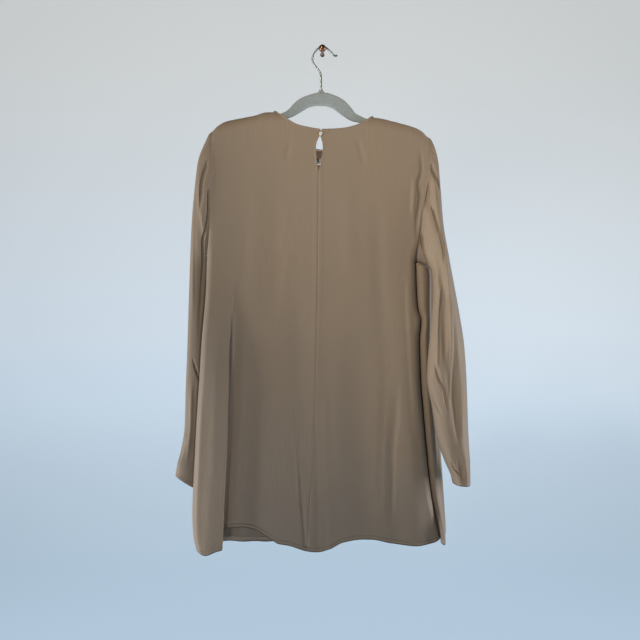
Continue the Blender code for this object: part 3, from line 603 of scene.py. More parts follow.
def finish_piece(name, data):
    item = bpy.data.objects.new(name, data)
    bpy.context.scene.collection.objects.link(item)
    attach(item, "root")
    return item


def seam_marks(distance, along, depth=0.7, reach=1.4, ridge=0.25, allowance=9.0):
    """A pressed seam beside an edge: the needle line, its allowance showing through, and puckers."""
    needle = -depth * np.exp(-(distance / reach)**2)
    band = ridge * smooth((allowance - distance) / 2) * smooth(distance / 2)
    pucker = 0.28 * np.sin(along * 2 * math.pi / PUCKER_PITCH + 1.7 * np.sin(along / 41))
    return needle + band + pucker * np.exp(-(distance / 6)**2)


def hem_light_and_edge_shade(up, high):
    """1 in a hem, which the cloth paints lighter as painted light, and 2 on its folded edge, which it paints dark
    as a painted shadow line.
    """
    return smooth((high + 0.8 - up) / 1.6) + smooth((EDGE_SHADE_HIGH + 0.5 - up) / 1.0)


def hem_marks(up, high):
    """A turned-up hem: it stands out a little, and the stitches pull a line along its top."""
    return 0.35 * smooth((high + 0.8 - up) / 1.6) - 0.5 * np.exp(-((up - high) / 1.1)**2)


def back_half(right):
    side = "right" if right else "left"
    sign = 1 if right else -1
    centre_top, side_top = read(CENTRE, "x", -157), section(side, -160)
    wide = abs(side_top - centre_top)
    neck_x = (NECK_RIGHT if right else NECK_LEFT)[0]
    at_neck = abs(neck_x - centre_top)
    edge = wide - quarter(SIDE_ROUND, 15)[::-1]
    first = np.array([0, 0.4, 0.9, 1.5, 2.2, 3.2, 4.5, 6, 8])
    if right:
        rest = [np.linspace(8, at_neck, 38)[1:], np.linspace(at_neck, edge[0], 36)[1:-1]]
    else:
        rest = [np.linspace(8, at_neck, 34)[1:], np.linspace(at_neck, 0.655 * wide, 16)[1:]]
        rest += [np.linspace(0.655 * wide, 0.79 * wide, 44)[1:], np.linspace(0.79 * wide, edge[0], 10)[1:-1]]
    shares = np.concatenate([first] + rest + [edge]) / wide
    x_top = mix(centre_top, side_top, shares)
    neck = shares < at_neck / wide - 1e-6
    top = np.where(neck, outline(BACK_NECK, x_top) + 0.9, shoulder_line(x_top))
    x_hem = mix(read(CENTRE, "x", -945), section(side, -945), shares)
    full_left, full_right = section("left", -160), section("right", -160)
    across = (x_top - full_left) / (full_right - full_left)
    z = panel_rows(top, outline(BACK_HEM, x_hem), across, BACK_HEM)
    seam = read(CENTRE, "x", z) + np.maximum(read(CENTRE, "half", z) - 0.1, 0.03) * sign
    x = mix(seam, section(side, z), shares[None, :])
    y = panel_y(x, z, -1)
    up = z - outline(BACK_HEM, x_hem)[None, :]
    keyhole = smooth((read(CENTRE, "half", z) - 0.3) / 1.5)
    off_centre = np.abs(x - seam)
    push = seam_marks(off_centre, z, 0.3, 1.2, 0.3) * (1 - keyhole)
    push += keyhole * 0.5 * np.exp(-((off_centre - 1.2) / 1.1)**2)
    off_arm = np.abs(section(side, z) - x)
    push += seam_marks(off_arm, z, 0.5, 1.6, 0.2) * smooth((z - ARM_LOW_LEFT) / 20)
    off_shoulder = (shoulder_line(x) - z)
    push += np.where(neck[None, :], 0, seam_marks(off_shoulder, x, 0.6, 1.8, 0.2))
    push += hem_marks(up, HEM_HIGH)
    flat = smooth(off_arm / 4) if right else smooth(off_arm / 4)
    y = y - push * mix(0.3, 1, flat)
    if not right:
        x = x + roll_shape(x, z)[1]
    grid = np.stack([x, y, z], 2)
    mark = hem_light_and_edge_shade(up, HEM_HIGH)
    uv = np.stack([mix(x, x_top[None, :], 0.0), z], 2) * MM
    if not right:
        grid, uv, mark = grid[:, ::-1], uv[:, ::-1], mark[:, ::-1]
    item = shell("back_" + side + "_cloth", grid, uv, mark)
    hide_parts("back_" + side)
    return item, grid, mark


def front_part(share, necks, across=None, turn_y=None, back_off=None):
    """Columns of the front. Those with across turn round the right side, below the underarm."""
    left_top, right_top = section("left", -160), section("right", -160)
    x_top = mix(left_top, right_top, share)
    neck = (share > necks[0] + 1e-6) & (share < necks[1] - 1e-6)
    top = np.where(neck, outline(FRONT_NECK, x_top) + 0.9, shoulder_line(x_top))
    if across is None:
        x_hem = mix(section("left", -945), section("side", -945), share)
    else:
        x_hem = mix(section("right", -945), section("side", -945), across)
    hem = outline(FRONT_HEM, x_hem)
    z = panel_rows(top, hem, share, FRONT_HEM)
    left, right, side = section("left", z), section("right", z), section("side", z)
    turn = smooth((HOOK_Z[0] - z) / (HOOK_Z[0] - HOOK_Z[1]))
    if across is None:
        last = 1 - HOOK_FLAT[0] / (right_top - left_top)
        reach = mix(right - HOOK_FLAT[0], mix(right, side, HOOK[0].across) - 6, turn)
        x = mix(left, reach, share[None, :] / last)
        y = mix(edge_y(z, 1, False), body_y(x, z, 1), arch((x - left) / SIDE_ROUND))
        flat = mix(edge_y(z, 1, True), y, arch((right - x) / SIDE_ROUND))
        y = mix(flat, y, turn)
    else:
        x_flat = right - back_off[None, :]
        depth = (turn_y - HOOK[0].y) / (HOOK[-1].y - HOOK[0].y)
        x = mix(x_flat, mix(right, side, across[None, :]), turn)
        curl = mix(section("front", z), edge_y(z, 1, True), depth[None, :])
        y = mix(panel_y(x_flat, z, 1), curl, turn)
    up = z - hem[None, :]
    off_shoulder = shoulder_line(x) - z
    push = np.where(neck[None, :], 0, seam_marks(off_shoulder, x, 0.6, 1.8, 0.2)) + hem_marks(up, HEM_HIGH)
    return np.stack([x, y + push, z], 2), hem_light_and_edge_shade(up, HEM_HIGH), neck


def front_panel():
    left_top, right_top = section("left", -160), section("right", -160)
    width = right_top - left_top
    necks = ((NECK_LEFT[0] - left_top) / width, (NECK_RIGHT[0] - left_top) / width)
    last = 1 - HOOK_FLAT[0] / width
    edge = quarter(SIDE_ROUND, 13) / width
    shares = np.concatenate([
        edge, np.linspace(edge[-1], necks[0], 30)[1:], np.linspace(necks[0], necks[1], 62)[1:],
        np.linspace(necks[1], last - 0.6 / width, 28)[1:]])
    flat, flat_mark, neck = front_part(shares, necks)
    steps = np.linspace(0, len(HOOK) - 1, 43)
    index = range(len(HOOK))
    across = through(index, [h.across for h in HOOK], steps)
    turn_y = through(index, [h.y for h in HOOK], steps)
    back_off = through(index, HOOK_FLAT, steps)
    curl, curl_mark, _ = front_part(1 - back_off / width, necks, across, turn_y, back_off)
    grid = np.concatenate([flat, curl], 1)
    mark = np.concatenate([flat_mark, curl_mark], 1)
    item = shell("front_cloth", grid, grid[:, :, (0, 2)] * MM, mark, out=-1)
    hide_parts("front")
    return item, grid, mark


def sleeve(side, table, creases, back_lines, front_lines, gathers):
    right = side == "right"
    index = np.arange(len(table))
    dense = np.linspace(0, len(table) - 1, 400)

    def ring(field, s):
        return through(index, [getattr(r, field) for r in table], s)

    middle = np.stack([(ring("out_" + a, dense) + ring("in_" + a, dense)) / 2 for a in "xz"], 1)
    run = np.concatenate([[0], np.cumsum(np.linalg.norm(np.diff(middle, axis=0), axis=1))])
    steps = np.concatenate([quarter(9, 7), np.linspace(9, run[-1] - 12, 168)[1:],
                            np.linspace(run[-1] - 12, run[-1], 13)[1:]])
    s = np.interp(steps, run, dense)[:, None]
    angle = np.linspace(0, 2 * math.pi, 161)[None, :-1]
    c = (1 - np.cos(angle)) / 2
    facing = np.where(angle < math.pi, -1.0, 1.0)
    settled = smooth((s - 1) / 4)
    bulge = ring("half", s) * np.abs(np.sin(angle))**mix(0.8, 1.0, settled)
    x = mix(ring("out_x", s), ring("in_x", s), c)
    z = mix(ring("out_z", s), ring("in_z", s), c)
    bow = 1 - smooth((s - 1) / 5)
    straight = mix(table[0].out_x, table[0].in_x, c)
    x = x + (section(side, z) - straight + (SEAM_GAP if right else -SEAM_GAP)) * bow
    push = np.zeros_like(x)
    for f in creases:
        a = smooth(1 - np.abs(c - f.across) / f.half_across)
        push -= np.where(facing == f.side, f.depth * a * smooth(1 - np.abs(z - f.z) / f.half_along), 0)
    push += np.where(facing < 0, line_push(back_lines, x, z), line_push(front_lines, x, z))
    down = steps[:, None]
    for g in gathers:
        fade = smooth((g.long - down) / g.long) * mix(0.5, 1, smooth(down / 5))
        push -= np.where(facing == g.side, g.deep * fade * bell((c - g.across) / g.half), 0)
    edge_keep = smooth(down / 3)
    up = run[-1] - down
    push = push * edge_keep + seam_marks(down, z, 0.5, 1.6, 0.2) * 0.8 + hem_marks(up, CUFF_HIGH) * 0.8
    rounded = np.abs(np.sin(angle))
    y = ring("y", s) + facing * (bulge + push * smooth(rounded / 0.35)) + ring("skew", s) * (1 - 2 * c)
    grid = np.stack([x, y, z], 2)
    u = np.linspace(0, 0.24, 161)[None, :] * np.ones_like(s)
    v = -steps[:, None] * MM * np.ones((1, 161))
    mark = hem_light_and_edge_shade(up, CUFF_HIGH) * np.ones_like(x)
    item = shell("sleeve_" + side + "_cloth", grid, np.stack([u, v], 2), mark, closed=True, out=-1 if right else 1)
    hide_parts("sleeve_" + side)
    return item, grid, mark


def spread(first, last, count, dense_start=False, dense_end=False):
    t = np.arange(1, count + 1) / count
    if dense_start:
        t = 1 - np.cos(math.pi / 2 * t)
    if dense_end:
        t = np.sin(math.pi / 2 * t)
    return mix(first, last, t)


def curve_through(points, per_span, closed=False):
    """A smooth run of points through the given ones."""
    p = np.asarray(points, float)
    n = len(p)
    out = []
    for i in range(n if closed else n - 1):
        ids = [(i + k) % n if closed else min(max(i + k, 0), n - 1) for k in (-1, 0, 1, 2)]
        a, b, c, d = p[ids]
        for t in np.arange(per_span) / per_span:
            out.append(0.5 * (2 * b + (c - a) * t + (2 * a - 5 * b + 4 * c - d) * t**2
                              + (3 * b - a - 3 * c + d) * t**3))
    if not closed:
        out.append(p[-1])
    return np.array(out)


def even_steps(points, pitch):
    """Points at an even pitch along a line."""
    run = np.concatenate([[0], np.cumsum(np.linalg.norm(np.diff(points, axis=0), axis=1))])
    at = np.arange(pitch / 2, run[-1], pitch)
    return np.stack([np.interp(at, run, points[:, k]) for k in range(3)], 1)


def loft(name, rings, closed_ring=True, caps=True):
    """A skin over rings of points, in millimetres."""
    rings = np.asarray(rings, float)
    count, sides = rings.shape[:2]
    faces = []
    for r in range(count - 1):
        for k in range(sides):
            n = (k + 1) % sides
            faces.append((r * sides + k, r * sides + n, (r + 1) * sides + n, (r + 1) * sides + k))
    if caps:
        faces.append(tuple(range(sides))[::-1])
        faces.append(tuple((count - 1) * sides + k for k in range(sides)))
    mesh = bpy.data.meshes.new(name)
    mesh.from_pydata((rings.reshape(-1, 3) * MM).tolist(), [], faces)
    mesh.shade_smooth()
    mesh.set_sharp_from_angle(angle=math.radians(50))
    return mesh


def pipe(name, points, radii, sides=12, flat=1.0, caps=True):
    """A tube along points. radii is a number or one for each point; flat squeezes it across."""
    p = np.asarray(points, float)
    radii = np.broadcast_to(radii, (len(p),))
    run = np.gradient(p, axis=0)
    run /= np.linalg.norm(run, axis=1, keepdims=True)
    up = np.array([0.0, -1.0, 0.0])
    rings = []
    for spot, way, radius in zip(p, run, radii):
        side = np.cross(way, up)
        if np.linalg.norm(side) < 1e-6:
            side = np.array([1.0, 0, 0])
        side /= np.linalg.norm(side)
        up = np.cross(side, way)
        up /= np.linalg.norm(up)
        a = 2 * math.pi * np.arange(sides) / sides
        rings.append(spot + radius * (np.cos(a)[:, None] * side + flat * np.sin(a)[:, None] * up))
    return loft(name, rings, caps=caps)


def stitches(name, lines, radius=STITCH_RADIUS, pitch=STITCH_PITCH, long=STITCH_LONG):
    """Rows of short thread stitches, each a slim closed bead, along lines on the cloth."""
    verts, faces = [], []
    sides = 5
    for line in lines:
        middle = even_steps(line, pitch)
        way = np.gradient(middle, axis=0)
        way /= np.linalg.norm(way, axis=1, keepdims=True)
        for spot, run in zip(middle, way):
            side = np.cross(run, (0, -1, 0))
            side /= max(np.linalg.norm(side), 1e-9)
            up = np.cross(side, run)
            base = len(verts)
            verts.append(spot - run * long / 2)
            for share in (-0.28, 0.28):
                for j in range(sides):
                    a = 2 * math.pi * j / sides
                    verts.append(spot + run * long * share + radius * (math.cos(a) * side + math.sin(a) * up))
            verts.append(spot + run * long / 2)
            a, b, end = base + 1, base + 1 + sides, base + 1 + 2 * sides
            for j in range(sides):
                n = (j + 1) % sides
                faces += [(base, a + n, a + j), (a + j, a + n, b + n, b + j), (b + j, b + n, end)]
    mesh = bpy.data.meshes.new(name)
    mesh.from_pydata((np.array(verts) * MM).tolist(), [], faces)
    mesh.shade_smooth()
    item = finish_piece(name, mesh)
    return item


def lines_above_edge(grid, heights, closed=False, out=1, lift=0.1):
    """Lines on the cloth at heights above its lower edge, just proud of its outer side."""
    normal = cloth_normals(grid, closed, out)
    steps = np.linalg.norm(np.diff(grid[::-1], axis=0), axis=2)
    run = np.concatenate([np.zeros((1, grid.shape[1])), np.cumsum(steps, 0)])
    lines = []
    for high in heights:
        line = []
        for c in range(grid.shape[1]):
            spot = [np.interp(high, run[:, c], grid[::-1, c, k] + lift * normal[::-1, c, k]) for k in range(3)]
            line.append(spot)
        lines.append(np.array(line + line[:1] if closed else line))
    return lines


def neck_line():
    """The middle of the neck binding, as the part has it, from the keyhole round the front."""
    centre = read(CENTRE, "x", -157)
    runs = {}
    for right in (False, True):
        side = "right" if right else "left"
        side_x = section(side, -160)
        at_neck = ((NECK_RIGHT if right else NECK_LEFT)[0] - centre) / (side_x - centre)
        shares = np.concatenate([[0.0, 0.03], spread(0.03, at_neck, 6, dense_end=True)])
        x = mix(centre, side_x, shares)
        z = outline(BACK_NECK, x)
        z[-1] = (NECK_RIGHT if right else NECK_LEFT)[1]
        seam = read(CENTRE, "x", z) + read(CENTRE, "half", z) * (1 if right else -1)
        x = mix(seam, section(side, z), shares)
        y = np.where(np.arange(len(x)) == len(x) - 1, HANGER_Y, panel_y(x, z, -1))
        runs[side] = np.stack([x, y, z], 1)
    left_top, right_top = section("left", -160), section("right", -160)
    width = right_top - left_top
    necks = [(n[0] - left_top) / width for n in (NECK_LEFT, NECK_RIGHT)]
    middle = sum(necks) / 2
    shares = np.concatenate([spread(necks[0], middle, 7, dense_start=True),
                             spread(middle, necks[1], 7, dense_end=True)[:-1]])
    last = 1 - HOOK_FLAT[0] / width
    z = outline(FRONT_NECK, mix(left_top, right_top, shares))
    x = mix(section("left", z), section("right", z) - HOOK_FLAT[0], shares / last)
    front = np.stack([x, body_y(x, z, 1), z], 1)
    loop = np.concatenate([runs["left"], front, runs["right"][::-1]])
    lift = BINDING_RADIUS + 0.3 + BINDING_EASE
    points = []
    for k, spot in enumerate(loop):
        before, after = loop[max(k - 1, 0)], loop[min(k + 1, len(loop) - 1)]
        run = np.array([after[0] - before[0], 0, after[2] - before[2]])
        run /= np.linalg.norm(run)
        up = np.array([-run[2], 0, run[0]])
        up *= 1 if up[2] >= 0 else -1
        if spot[1] == HANGER_Y:
            up = np.array([0.6 if spot[0] < 0 else -0.6, 0, 0.35])
        inward = 0 if spot[1] == HANGER_Y else (0.6 if spot[1] < HANGER_Y else -0.6)
        points.append(spot + up * lift + np.array([0, inward, 0]))
    points[0][0] -= BINDING_RADIUS / 2
    points[-1][0] += BINDING_RADIUS / 2
    return curve_through(points, 8)


def neck_binding():
    """A narrow rolled binding that ripples a little where its thread pulls it in."""
    line = neck_line()
    run = np.concatenate([[0], np.cumsum(np.linalg.norm(np.diff(line, axis=0), axis=1))])
    radii = BINDING_RADIUS * (1 + 0.05 * np.sin(run * 2 * math.pi / 6.5) + 0.04 * np.sin(run / 13))
    even = even_steps(line, 1.3)
    item = finish_piece("neck_binding_cloth", pipe("neck_binding_cloth", even, np.interp(
        np.linspace(0, 1, len(even)), np.linspace(0, 1, len(radii)), radii), sides=12))
    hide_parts("neck_binding")
    below = even - np.array([0, 0, 1.0]) * (BINDING_RADIUS + 1.4)
    return item, below


def keyhole_edge(right, grid):
    """The narrow rolled edge of the opening, on one half of the back."""
    column = grid[:, 0] if right else grid[:, -1]
    inside = (column[:, 2] > -238) & (column[:, 2] < -160.5)
    line = column[inside] + np.array([0.25 if right else -0.25, 0.1, 0])
    ends = np.clip(np.arange(len(line)) / 4, 0, 1) * np.clip(np.arange(len(line))[::-1] / 6, 0, 1)
    name = "keyhole_edge_" + ("right" if right else "left")
    item = finish_piece(name, pipe(name, line, 0.25 + 0.4 * ends, sides=10))
    return item


def beam_rings(stations, pitch, sides=28, soft=0.55):
    """Rounded upright sections of the hanger at an even pitch, rounded off at both ends."""
    xs = [s.x for s in stations]
    x = np.arange(xs[0], xs[-1], pitch)
    x = np.append(x, xs[-1])
    top, low = read(stations, "top", x, "x"), read(stations, "bottom", x, "x")
    slope = np.gradient((top + low) / 2, x)
    rings = []
    a = 2 * math.pi * (np.arange(sides) + 0.5) / sides
    for k in range(len(x)):
        end = min(x[k] - x[0], x[-1] - x[k])
        size = math.sqrt(max(0.08, 1 - (1 - min(1, (end + 0.1) / 2.6))**2))
        y = HANGER_THICK / 2 * size * np.sign(np.cos(a)) * np.abs(np.cos(a))**soft
        tall = (top[k] - low[k]) / 2 * mix(1, size, 0.35)
        z = tall * np.sign(np.sin(a)) * np.abs(np.sin(a))**soft
        lean = -z * slope[k] * 0.35 * (1 if 4 < end else 0)
        rings.append(np.stack([x[k] + lean, HANGER_Y + y, (top[k] + low[k]) / 2 + z], 1))
    return rings


def hanger():
    items = []
    for name, stations in (("hanger_arms", ARMS), ("hanger_bar", BAR)):
        item = finish_piece(name + "_flocked", loft(name + "_flocked", beam_rings(stations, 2.2)))
        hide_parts(name)
        items.append(item)
    profile = [(6.4, 0), (6.3, 0.6), (5.6, 2.0), (4.6, 3.6), (3.6, 5.2), (2.9, 6.4), (2.5, 7.0), (2.2, 7.2)]
    a = 2 * math.pi * np.arange(32) / 32
    rings = [np.stack([HOOK_PATH[0].x + r * np.cos(a), HANGER_Y + 0.48 * r * np.sin(a),
                       np.full(32, NUB_LOW + 0.3 + up)], 1) for r, up in profile]
    nub = finish_piece("hanger_nub_flocked", loft("hanger_nub_flocked", rings))
    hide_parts("hanger_nub")
    return items + [nub]


def hanger_hook():
    line = curve_through([(p.x, HANGER_Y, p.z) for p in HOOK_PATH], 8)
    radii = np.full(len(line), HOOK_WIRE / 2)
    radii[-3:] *= (0.96, 0.8, 0.45)
    item = finish_piece("hanger_hook_wire", pipe("hanger_hook_wire", line, radii, sides=20))
    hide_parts("hanger_hook")
    return item


def wall_peg():
    outer = [(0.4, -0.0)] + [(r, y) for r, y in PEG_PROFILE] + [(1.2, 45.5), (0.3, 45.6)]
    line = curve_through([(r, y, 0) for r, y in outer], 5)
    a = 2 * math.pi * np.arange(48) / 48
    rings = [np.stack([max(r, 0.2) * np.cos(a), np.full(48, -max(y, 0)), max(r, 0.2) * np.sin(a)], 1)
             for r, y, _ in line]
    item = finish_piece("wall_peg_turned", loft("wall_peg_turned", rings))
    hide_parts("wall_peg")
    return item


def turned_button():
    """A domed button with a rim and a dish."""
    profile = [(0.2, 2.4), (1.1, 2.35), (1.8, 2.25), (2.3, 2.4), (2.7, 2.6), (3.0, 2.5), (3.3, 2.1),
               (3.4, 1.5), (3.3, 0.9), (3.0, 0.4), (2.2, 0.1), (1.0, 0.0), (0.2, 0.0)]
    base = float(panel_y(np.array([BUTTON_AT.x]), np.array([BUTTON_AT.z]), -1)[0]) - 0.5
    a = 2 * math.pi * np.arange(40) / 40
    line = curve_through([(r, h, 0) for r, h in profile], 3)
    rings = [np.stack([BUTTON_AT.x + max(r, 0.1) * np.cos(a), np.full(40, base - h),
                       BUTTON_AT.z + max(r, 0.1) * np.sin(a)], 1) for r, h, _ in line]
    item = finish_piece("button_turned", loft("button_turned", rings))
    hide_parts("button")
    return item, base


def thread_loop(base):
    a = np.radians(np.linspace(150, 390, 40))
    line = np.stack([BUTTON_AT.x + LOOP_REACH * np.cos(a), np.full(40, base - 0.55 + 0.5),
                     BUTTON_AT.z + LOOP_REACH * np.sin(a)], 1)
    item = finish_piece("button_loop_thread", pipe("button_loop_thread", line, LOOP_RADIUS, sides=12))
    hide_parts("button_loop")
    return item


def new_material(name):
    material = bpy.data.materials.new(name)
    material.use_nodes = True
    return material, material.node_tree, material.node_tree.nodes["Principled BSDF"]


def add(tree, kind, **inputs):
    node = tree.nodes.new(kind)
    for key, value in inputs.items():
        if key[0] == "_":
            setattr(node, key[1:], value)
        elif hasattr(value, "node"):
            tree.links.new(value, node.inputs[key.replace("_", " ")])
        else:
            node.inputs[key.replace("_", " ")].default_value = value
    return node


def scaled(tree, source, scale):
    node = tree.nodes.new("ShaderNodeVectorMath")
    node.operation = "MULTIPLY"
    tree.links.new(source, node.inputs[0])
    node.inputs[1].default_value = scale
    return node.outputs[0]


def noise(tree, source, scale, detail=2.0, rough=0.5):
    node = add(tree, "ShaderNodeTexNoise", Vector=scaled(tree, source, scale), Scale=1.0, Detail=detail, Roughness=rough)
    return node.outputs["Fac"]


def blend_colour(tree, share, low, high, first, second):
    """A mix of two colours as share goes from low to high. Either may be a socket."""
    fac = add(tree, "ShaderNodeMapRange", Value=share, From_Min=low, From_Max=high).outputs[0]
    node = tree.nodes.new("ShaderNodeMix")
    node.data_type = "RGBA"
    tree.links.new(fac, node.inputs["Factor"])
    for slot, value in ((6, first), (7, second)):
        if hasattr(value, "node"):
            tree.links.new(value, node.inputs[slot])
        else:
            node.inputs[slot].default_value = (*value, 1)
    return node.outputs[2]


def bump(tree, height, distance, strength, below=None):
    node = add(tree, "ShaderNodeBump", Height=height, Distance=distance, Strength=strength)
    if below is not None:
        tree.links.new(below, node.inputs["Normal"])
    return node.outputs[0]


def crepe(name, dark, light, hem_painted_light):
    """Thin crepe: fine upright crinkles in its twisted yarn, soft slubs and a slight sheen."""
    material, tree, shader = new_material(name)
    uv = add(tree, "ShaderNodeUVMap", _uv_map="UVMap").outputs[0]
    place = add(tree, "ShaderNodeTexCoord").outputs["Object"]
    fine = noise(tree, uv, (1500, 260, 1), 3, 0.6)
    slub = noise(tree, uv, (230, 26, 1), 2, 0.5)
    broad = noise(tree, place, (7, 7, 4), 2, 0.5)
    weave = add(tree, "ShaderNodeTexNoise", Vector=scaled(tree, uv, (2600, 2600, 1)), Scale=1.0, Detail=1.0)
    colour = blend_colour(tree, slub, 0.32, 0.68, dark, light)
    # The hollows of the fine crinkles are painted darker, as painted shade.
    shade = tuple(a * 0.93 for a in dark)
    colour = blend_colour(tree, fine, 0.62, 0.2, colour, shade)
    warm = blend_colour(tree, broad, 0.35, 0.65, tuple(a * b for a, b in zip(dark, (0.97, 1.0, 1.04))), colour)
    mark = add(tree, "ShaderNodeAttribute", _attribute_name="hem").outputs["Fac"]
    # Painted light and shade: hems are painted lighter, and their folded edges dark as a thin painted shadow line.
    colour = blend_colour(tree, mark, 0, 1.6, warm, hem_painted_light)
    colour = blend_colour(tree, mark, 1.2, 2.0, colour, tuple(a * 0.3 for a in dark))
    tree.links.new(colour, shader.inputs["Base Color"])
    rough = add(tree, "ShaderNodeMapRange", Value=fine, To_Min=0.5, To_Max=0.68)
    tree.links.new(rough.outputs[0], shader.inputs["Roughness"])
    relief = bump(tree, slub, 0.0006, 0.12)
    relief = bump(tree, fine, 0.00025, 0.5, relief)
    relief = bump(tree, weave.outputs["Fac"], 0.00012, 0.35, relief)
    tree.links.new(relief, shader.inputs["Normal"])
    shader.inputs["Specular IOR Level"].default_value = 0.35
    shader.inputs["Sheen Weight"].default_value = 0.15
    shader.inputs["Sheen Roughness"].default_value = 0.45
    shader.inputs["Sheen Tint"].default_value = (0.9, 0.86, 0.82, 1)
    return material


def thread(name, dark, light):
    material, tree, shader = new_material(name)
    place = add(tree, "ShaderNodeTexCoord").outputs["Object"]
    twist = noise(tree, place, (1800, 1800, 900), 2, 0.6)
    tree.links.new(blend_colour(tree, twist, 0.3, 0.7, dark, light), shader.inputs["Base Color"])
    tree.links.new(bump(tree, twist, 0.0002, 0.5), shader.inputs["Normal"])
    shader.inputs["Roughness"].default_value = 0.6
    shader.inputs["Sheen Weight"].default_value = 0.2
    return material


def flock(name):
    """Short grey pile: speckled and a little worn in patches."""
    material, tree, shader = new_material(name)
    place = add(tree, "ShaderNodeTexCoord").outputs["Object"]
    pile = noise(tree, place, (1500, 1500, 1500), 2, 0.7)
    patch = noise(tree, place, (160, 160, 220), 3, 0.6)
    colour = blend_colour(tree, patch, 0.3, 0.7, (0.275, 0.315, 0.335), (0.385, 0.43, 0.455))
    colour = blend_colour(tree, pile, 0.3, 0.75, (0.225, 0.26, 0.28), colour)
    tree.links.new(colour, shader.inputs["Base Color"])
    relief = bump(tree, patch, 0.0006, 0.4)
    tree.links.new(bump(tree, pile, 0.0004, 0.6, relief), shader.inputs["Normal"])
    shader.inputs["Roughness"].default_value = 0.9
    shader.inputs["Sheen Weight"].default_value = 0.6
    shader.inputs["Sheen Roughness"].default_value = 0.5
    return material


def metal(name, dark, light, rough, scratch):
    material, tree, shader = new_material(name)
    place = add(tree, "ShaderNodeTexCoord").outputs["Object"]
    wear = noise(tree, place, scratch, 4, 0.6)
    tree.links.new(blend_colour(tree, wear, 0.3, 0.7, dark, light), shader.inputs["Base Color"])
    level = add(tree, "ShaderNodeMapRange", Value=wear, To_Min=rough[0], To_Max=rough[1])
    tree.links.new(level.outputs[0], shader.inputs["Roughness"])
    tree.links.new(bump(tree, wear, 0.0001, 0.25), shader.inputs["Normal"])
    shader.inputs["Metallic"].default_value = 1.0
    return material


def pearl(name):
    material, tree, shader = new_material(name)
    place = add(tree, "ShaderNodeTexCoord").outputs["Object"]
    cloud = noise(tree, place, (260, 260, 420), 3, 0.6)
    colour = blend_colour(tree, cloud, 0.3, 0.7, (0.52, 0.49, 0.43), (0.72, 0.70, 0.65))
    tree.links.new(colour, shader.inputs["Base Color"])
    tree.links.new(bump(tree, cloud, 0.0001, 0.2), shader.inputs["Normal"])
    shader.inputs["Roughness"].default_value = 0.25
    shader.inputs["Coat Weight"].default_value = 0.4
    return material


def stage_material(name, colours, heights, glow):
    """Colour that goes from the first colour to the last as the stage rises, as a painted falloff of light; the
    same colour also glows by itself, as painted light.
    """
    material, tree, shader = new_material(name)
    place = add(tree, "ShaderNodeTexCoord").outputs["Object"]
    height = add(tree, "ShaderNodeSeparateXYZ", Vector=place).outputs["Z"]
    colour = blend_colour(tree, height, heights[0], heights[1], colours[0], colours[1])
    colour = blend_colour(tree, height, heights[1], heights[2], colour, colours[2])
    tree.links.new(colour, shader.inputs["Base Color"])
    tree.links.new(colour, shader.inputs["Emission Color"])
    shader.inputs["Emission Strength"].default_value = glow
    shader.inputs["Roughness"].default_value = 0.9
    return material


def area_light(name, place, aim, size, power, colour):
    light = bpy.data.lights.new(name, "AREA")
    light.shape = "RECTANGLE"
    light.size, light.size_y = size
    light.energy = power
    light.color = colour
    item = bpy.data.objects.new(name, light)
    item.location = place
    item.rotation_euler = (Vector(aim) - Vector(place)).to_track_quat("-Z", "Y").to_euler()
    bpy.context.scene.collection.objects.link(item)


def spot_light(name, place, aim, half_angle, radius, power, colour):
    light = bpy.data.lights.new(name, "SPOT")
    light.spot_size = math.radians(2 * half_angle)
    light.spot_blend = 1.0
    light.shadow_soft_size = radius
    light.energy = power
    light.color = colour
    item = bpy.data.objects.new(name, light)
    item.location = place
    item.rotation_euler = (Vector(aim) - Vector(place)).to_track_quat("-Z", "Y").to_euler()
    bpy.context.scene.collection.objects.link(item)


def stage():
    """A pale backdrop that curves into the floor, well behind and below the part."""
    floor, back, bend = -1.9, 3.0, 0.9
    a = np.linspace(0, math.pi / 2, 17)
    profile = [(-4.0, floor)] + [(back - bend + bend * math.sin(t), floor + bend - bend * math.cos(t)) for t in a]
    profile.append((back, 3.2))
    verts = [(x, y, z) for y, z in profile for x in (-6.0, 6.0)]
    faces = [(2 * k, 2 * k + 1, 2 * k + 3, 2 * k + 2) for k in range(len(profile) - 1)]
    mesh = bpy.data.meshes.new("backdrop")
    mesh.from_pydata(verts, [], faces)
    mesh.shade_smooth()
    item = bpy.data.objects.new("backdrop", mesh)
    bpy.context.scene.collection.objects.link(item)
    # The backdrop is painted darker and bluer towards the floor as a painted light falloff, and glows by itself as
    # painted light.
    mesh.materials.append(stage_material(
        "backdrop_painted_light", ((0.40, 0.505, 0.60), (0.545, 0.605, 0.66), (0.60, 0.61, 0.60)), (-1.8, -0.6, 0.9), 0.72))


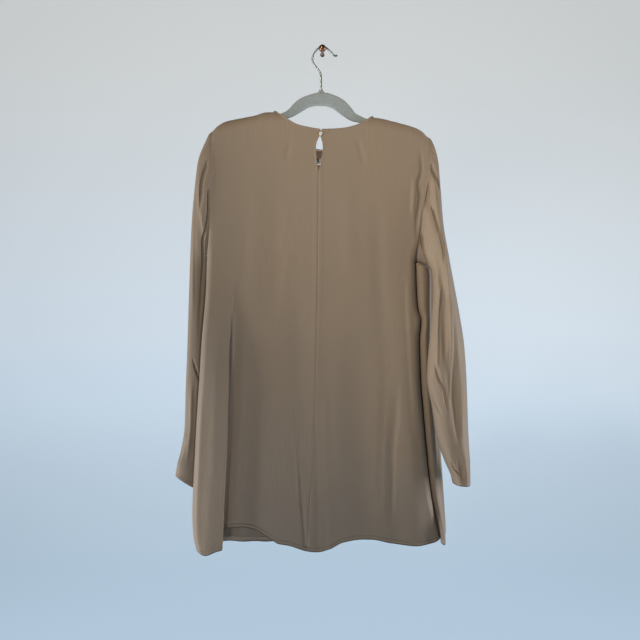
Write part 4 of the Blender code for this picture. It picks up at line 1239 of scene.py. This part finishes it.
def camera_and_light():
    camera = bpy.data.cameras.new("camera")
    camera.sensor_width = 36.0
    camera.lens = 36.0 / (2 * 0.40533)
    item = bpy.data.objects.new("camera", camera)
    item.location = (-0.0046, -1.540, -0.5168)
    item.rotation_euler = (math.pi / 2, 0, 0)
    bpy.context.scene.collection.objects.link(item)
    bpy.context.scene.camera = item
    bpy.context.scene.view_settings.view_transform = "Standard"
    world = bpy.data.worlds.new("room")
    world.use_nodes = True
    world.node_tree.nodes["Background"].inputs["Color"].default_value = (0.72, 0.78, 0.86, 1)
    world.node_tree.nodes["Background"].inputs["Strength"].default_value = 0.07
    bpy.context.scene.world = world
    spot_light("key", (-0.95, -2.1, 0.5), (0.45, 0, -0.18), 20.1, 0.1, 186, (1.0, 0.86, 0.66))
    area_light("left", (-2.0, -0.3, -1.0), (-0.1, 0, -0.82), (0.5, 0.7), 30, (1.0, 0.97, 0.93))
    spot_light("bounce", (-0.75, -1.9, -1.45), (-0.23, 0, -0.77), 10, 0.2, 40, (1.0, 0.93, 0.86))
    area_light("right", (2.1, -0.3, -0.65), (0, 0, -0.65), (0.5, 1.4), 31, (0.98, 0.98, 1.0))
    spot_light("inside", (-0.006, -0.038, -0.33), (-0.006, -0.024, -0.2), 14, 0.006, 1.0, (1.0, 0.88, 0.82))


def paint(items, material):
    for item in items:
        item.data.materials.clear()
        item.data.materials.append(material)


def main():
    camera_and_light()
    stage()
    # The last colour is the painted light of the hems.
    taupe = crepe("crepe_taupe", (0.262, 0.2, 0.146), (0.30, 0.229, 0.168), (0.29, 0.226, 0.165))
    sewn = thread("taupe_thread", (0.17, 0.125, 0.08), (0.27, 0.205, 0.14))
    back_left, grid_left, _ = back_half(False)
    back_right, grid_right, _ = back_half(True)
    front, grid_front, _ = front_panel()
    sleeve_left, grid_sl, _ = sleeve("left", SLEEVE_LEFT, CREASES_LEFT, LEFT_BACK_LINES, LEFT_FRONT_LINES, GATHERS)
    sleeve_right, grid_sr, _ = sleeve("right", SLEEVE_RIGHT, CREASES_RIGHT, RIGHT_BACK_LINES, RIGHT_FRONT_LINES, GATHERS)
    cloth = [back_left, back_right, front, sleeve_left, sleeve_right]
    paint(cloth, taupe)
    binding, below = neck_binding()
    edges = [keyhole_edge(False, grid_left), keyhole_edge(True, grid_right)]
    knob, base = turned_button()
    loop = thread_loop(base)
    hems = [stitches("hem_stitches_back_left", lines_above_edge(grid_left, HEM_ROWS)),
            stitches("hem_stitches_back_right", lines_above_edge(grid_right, HEM_ROWS)),
            stitches("hem_stitches_front", lines_above_edge(grid_front[:, :-30], HEM_ROWS, out=-1)),
            stitches("cuff_stitches_left", lines_above_edge(grid_sl, CUFF_ROWS, True, 1)),
            stitches("cuff_stitches_right", lines_above_edge(grid_sr, CUFF_ROWS, True, -1))]
    paint([binding] + edges, taupe)
    paint([loop] + hems, sewn)
    paint([knob], pearl("button_pearl"))
    paint(hanger(), flock("grey_flock"))
    paint([hanger_hook()], metal("hook_steel", (0.16, 0.19, 0.21), (0.30, 0.34, 0.37), (0.28, 0.45), (90, 90, 900)))
    paint([wall_peg()], metal("peg_copper", (0.16, 0.075, 0.045), (0.33, 0.17, 0.11), (0.25, 0.42), (220, 60, 220)))


main()
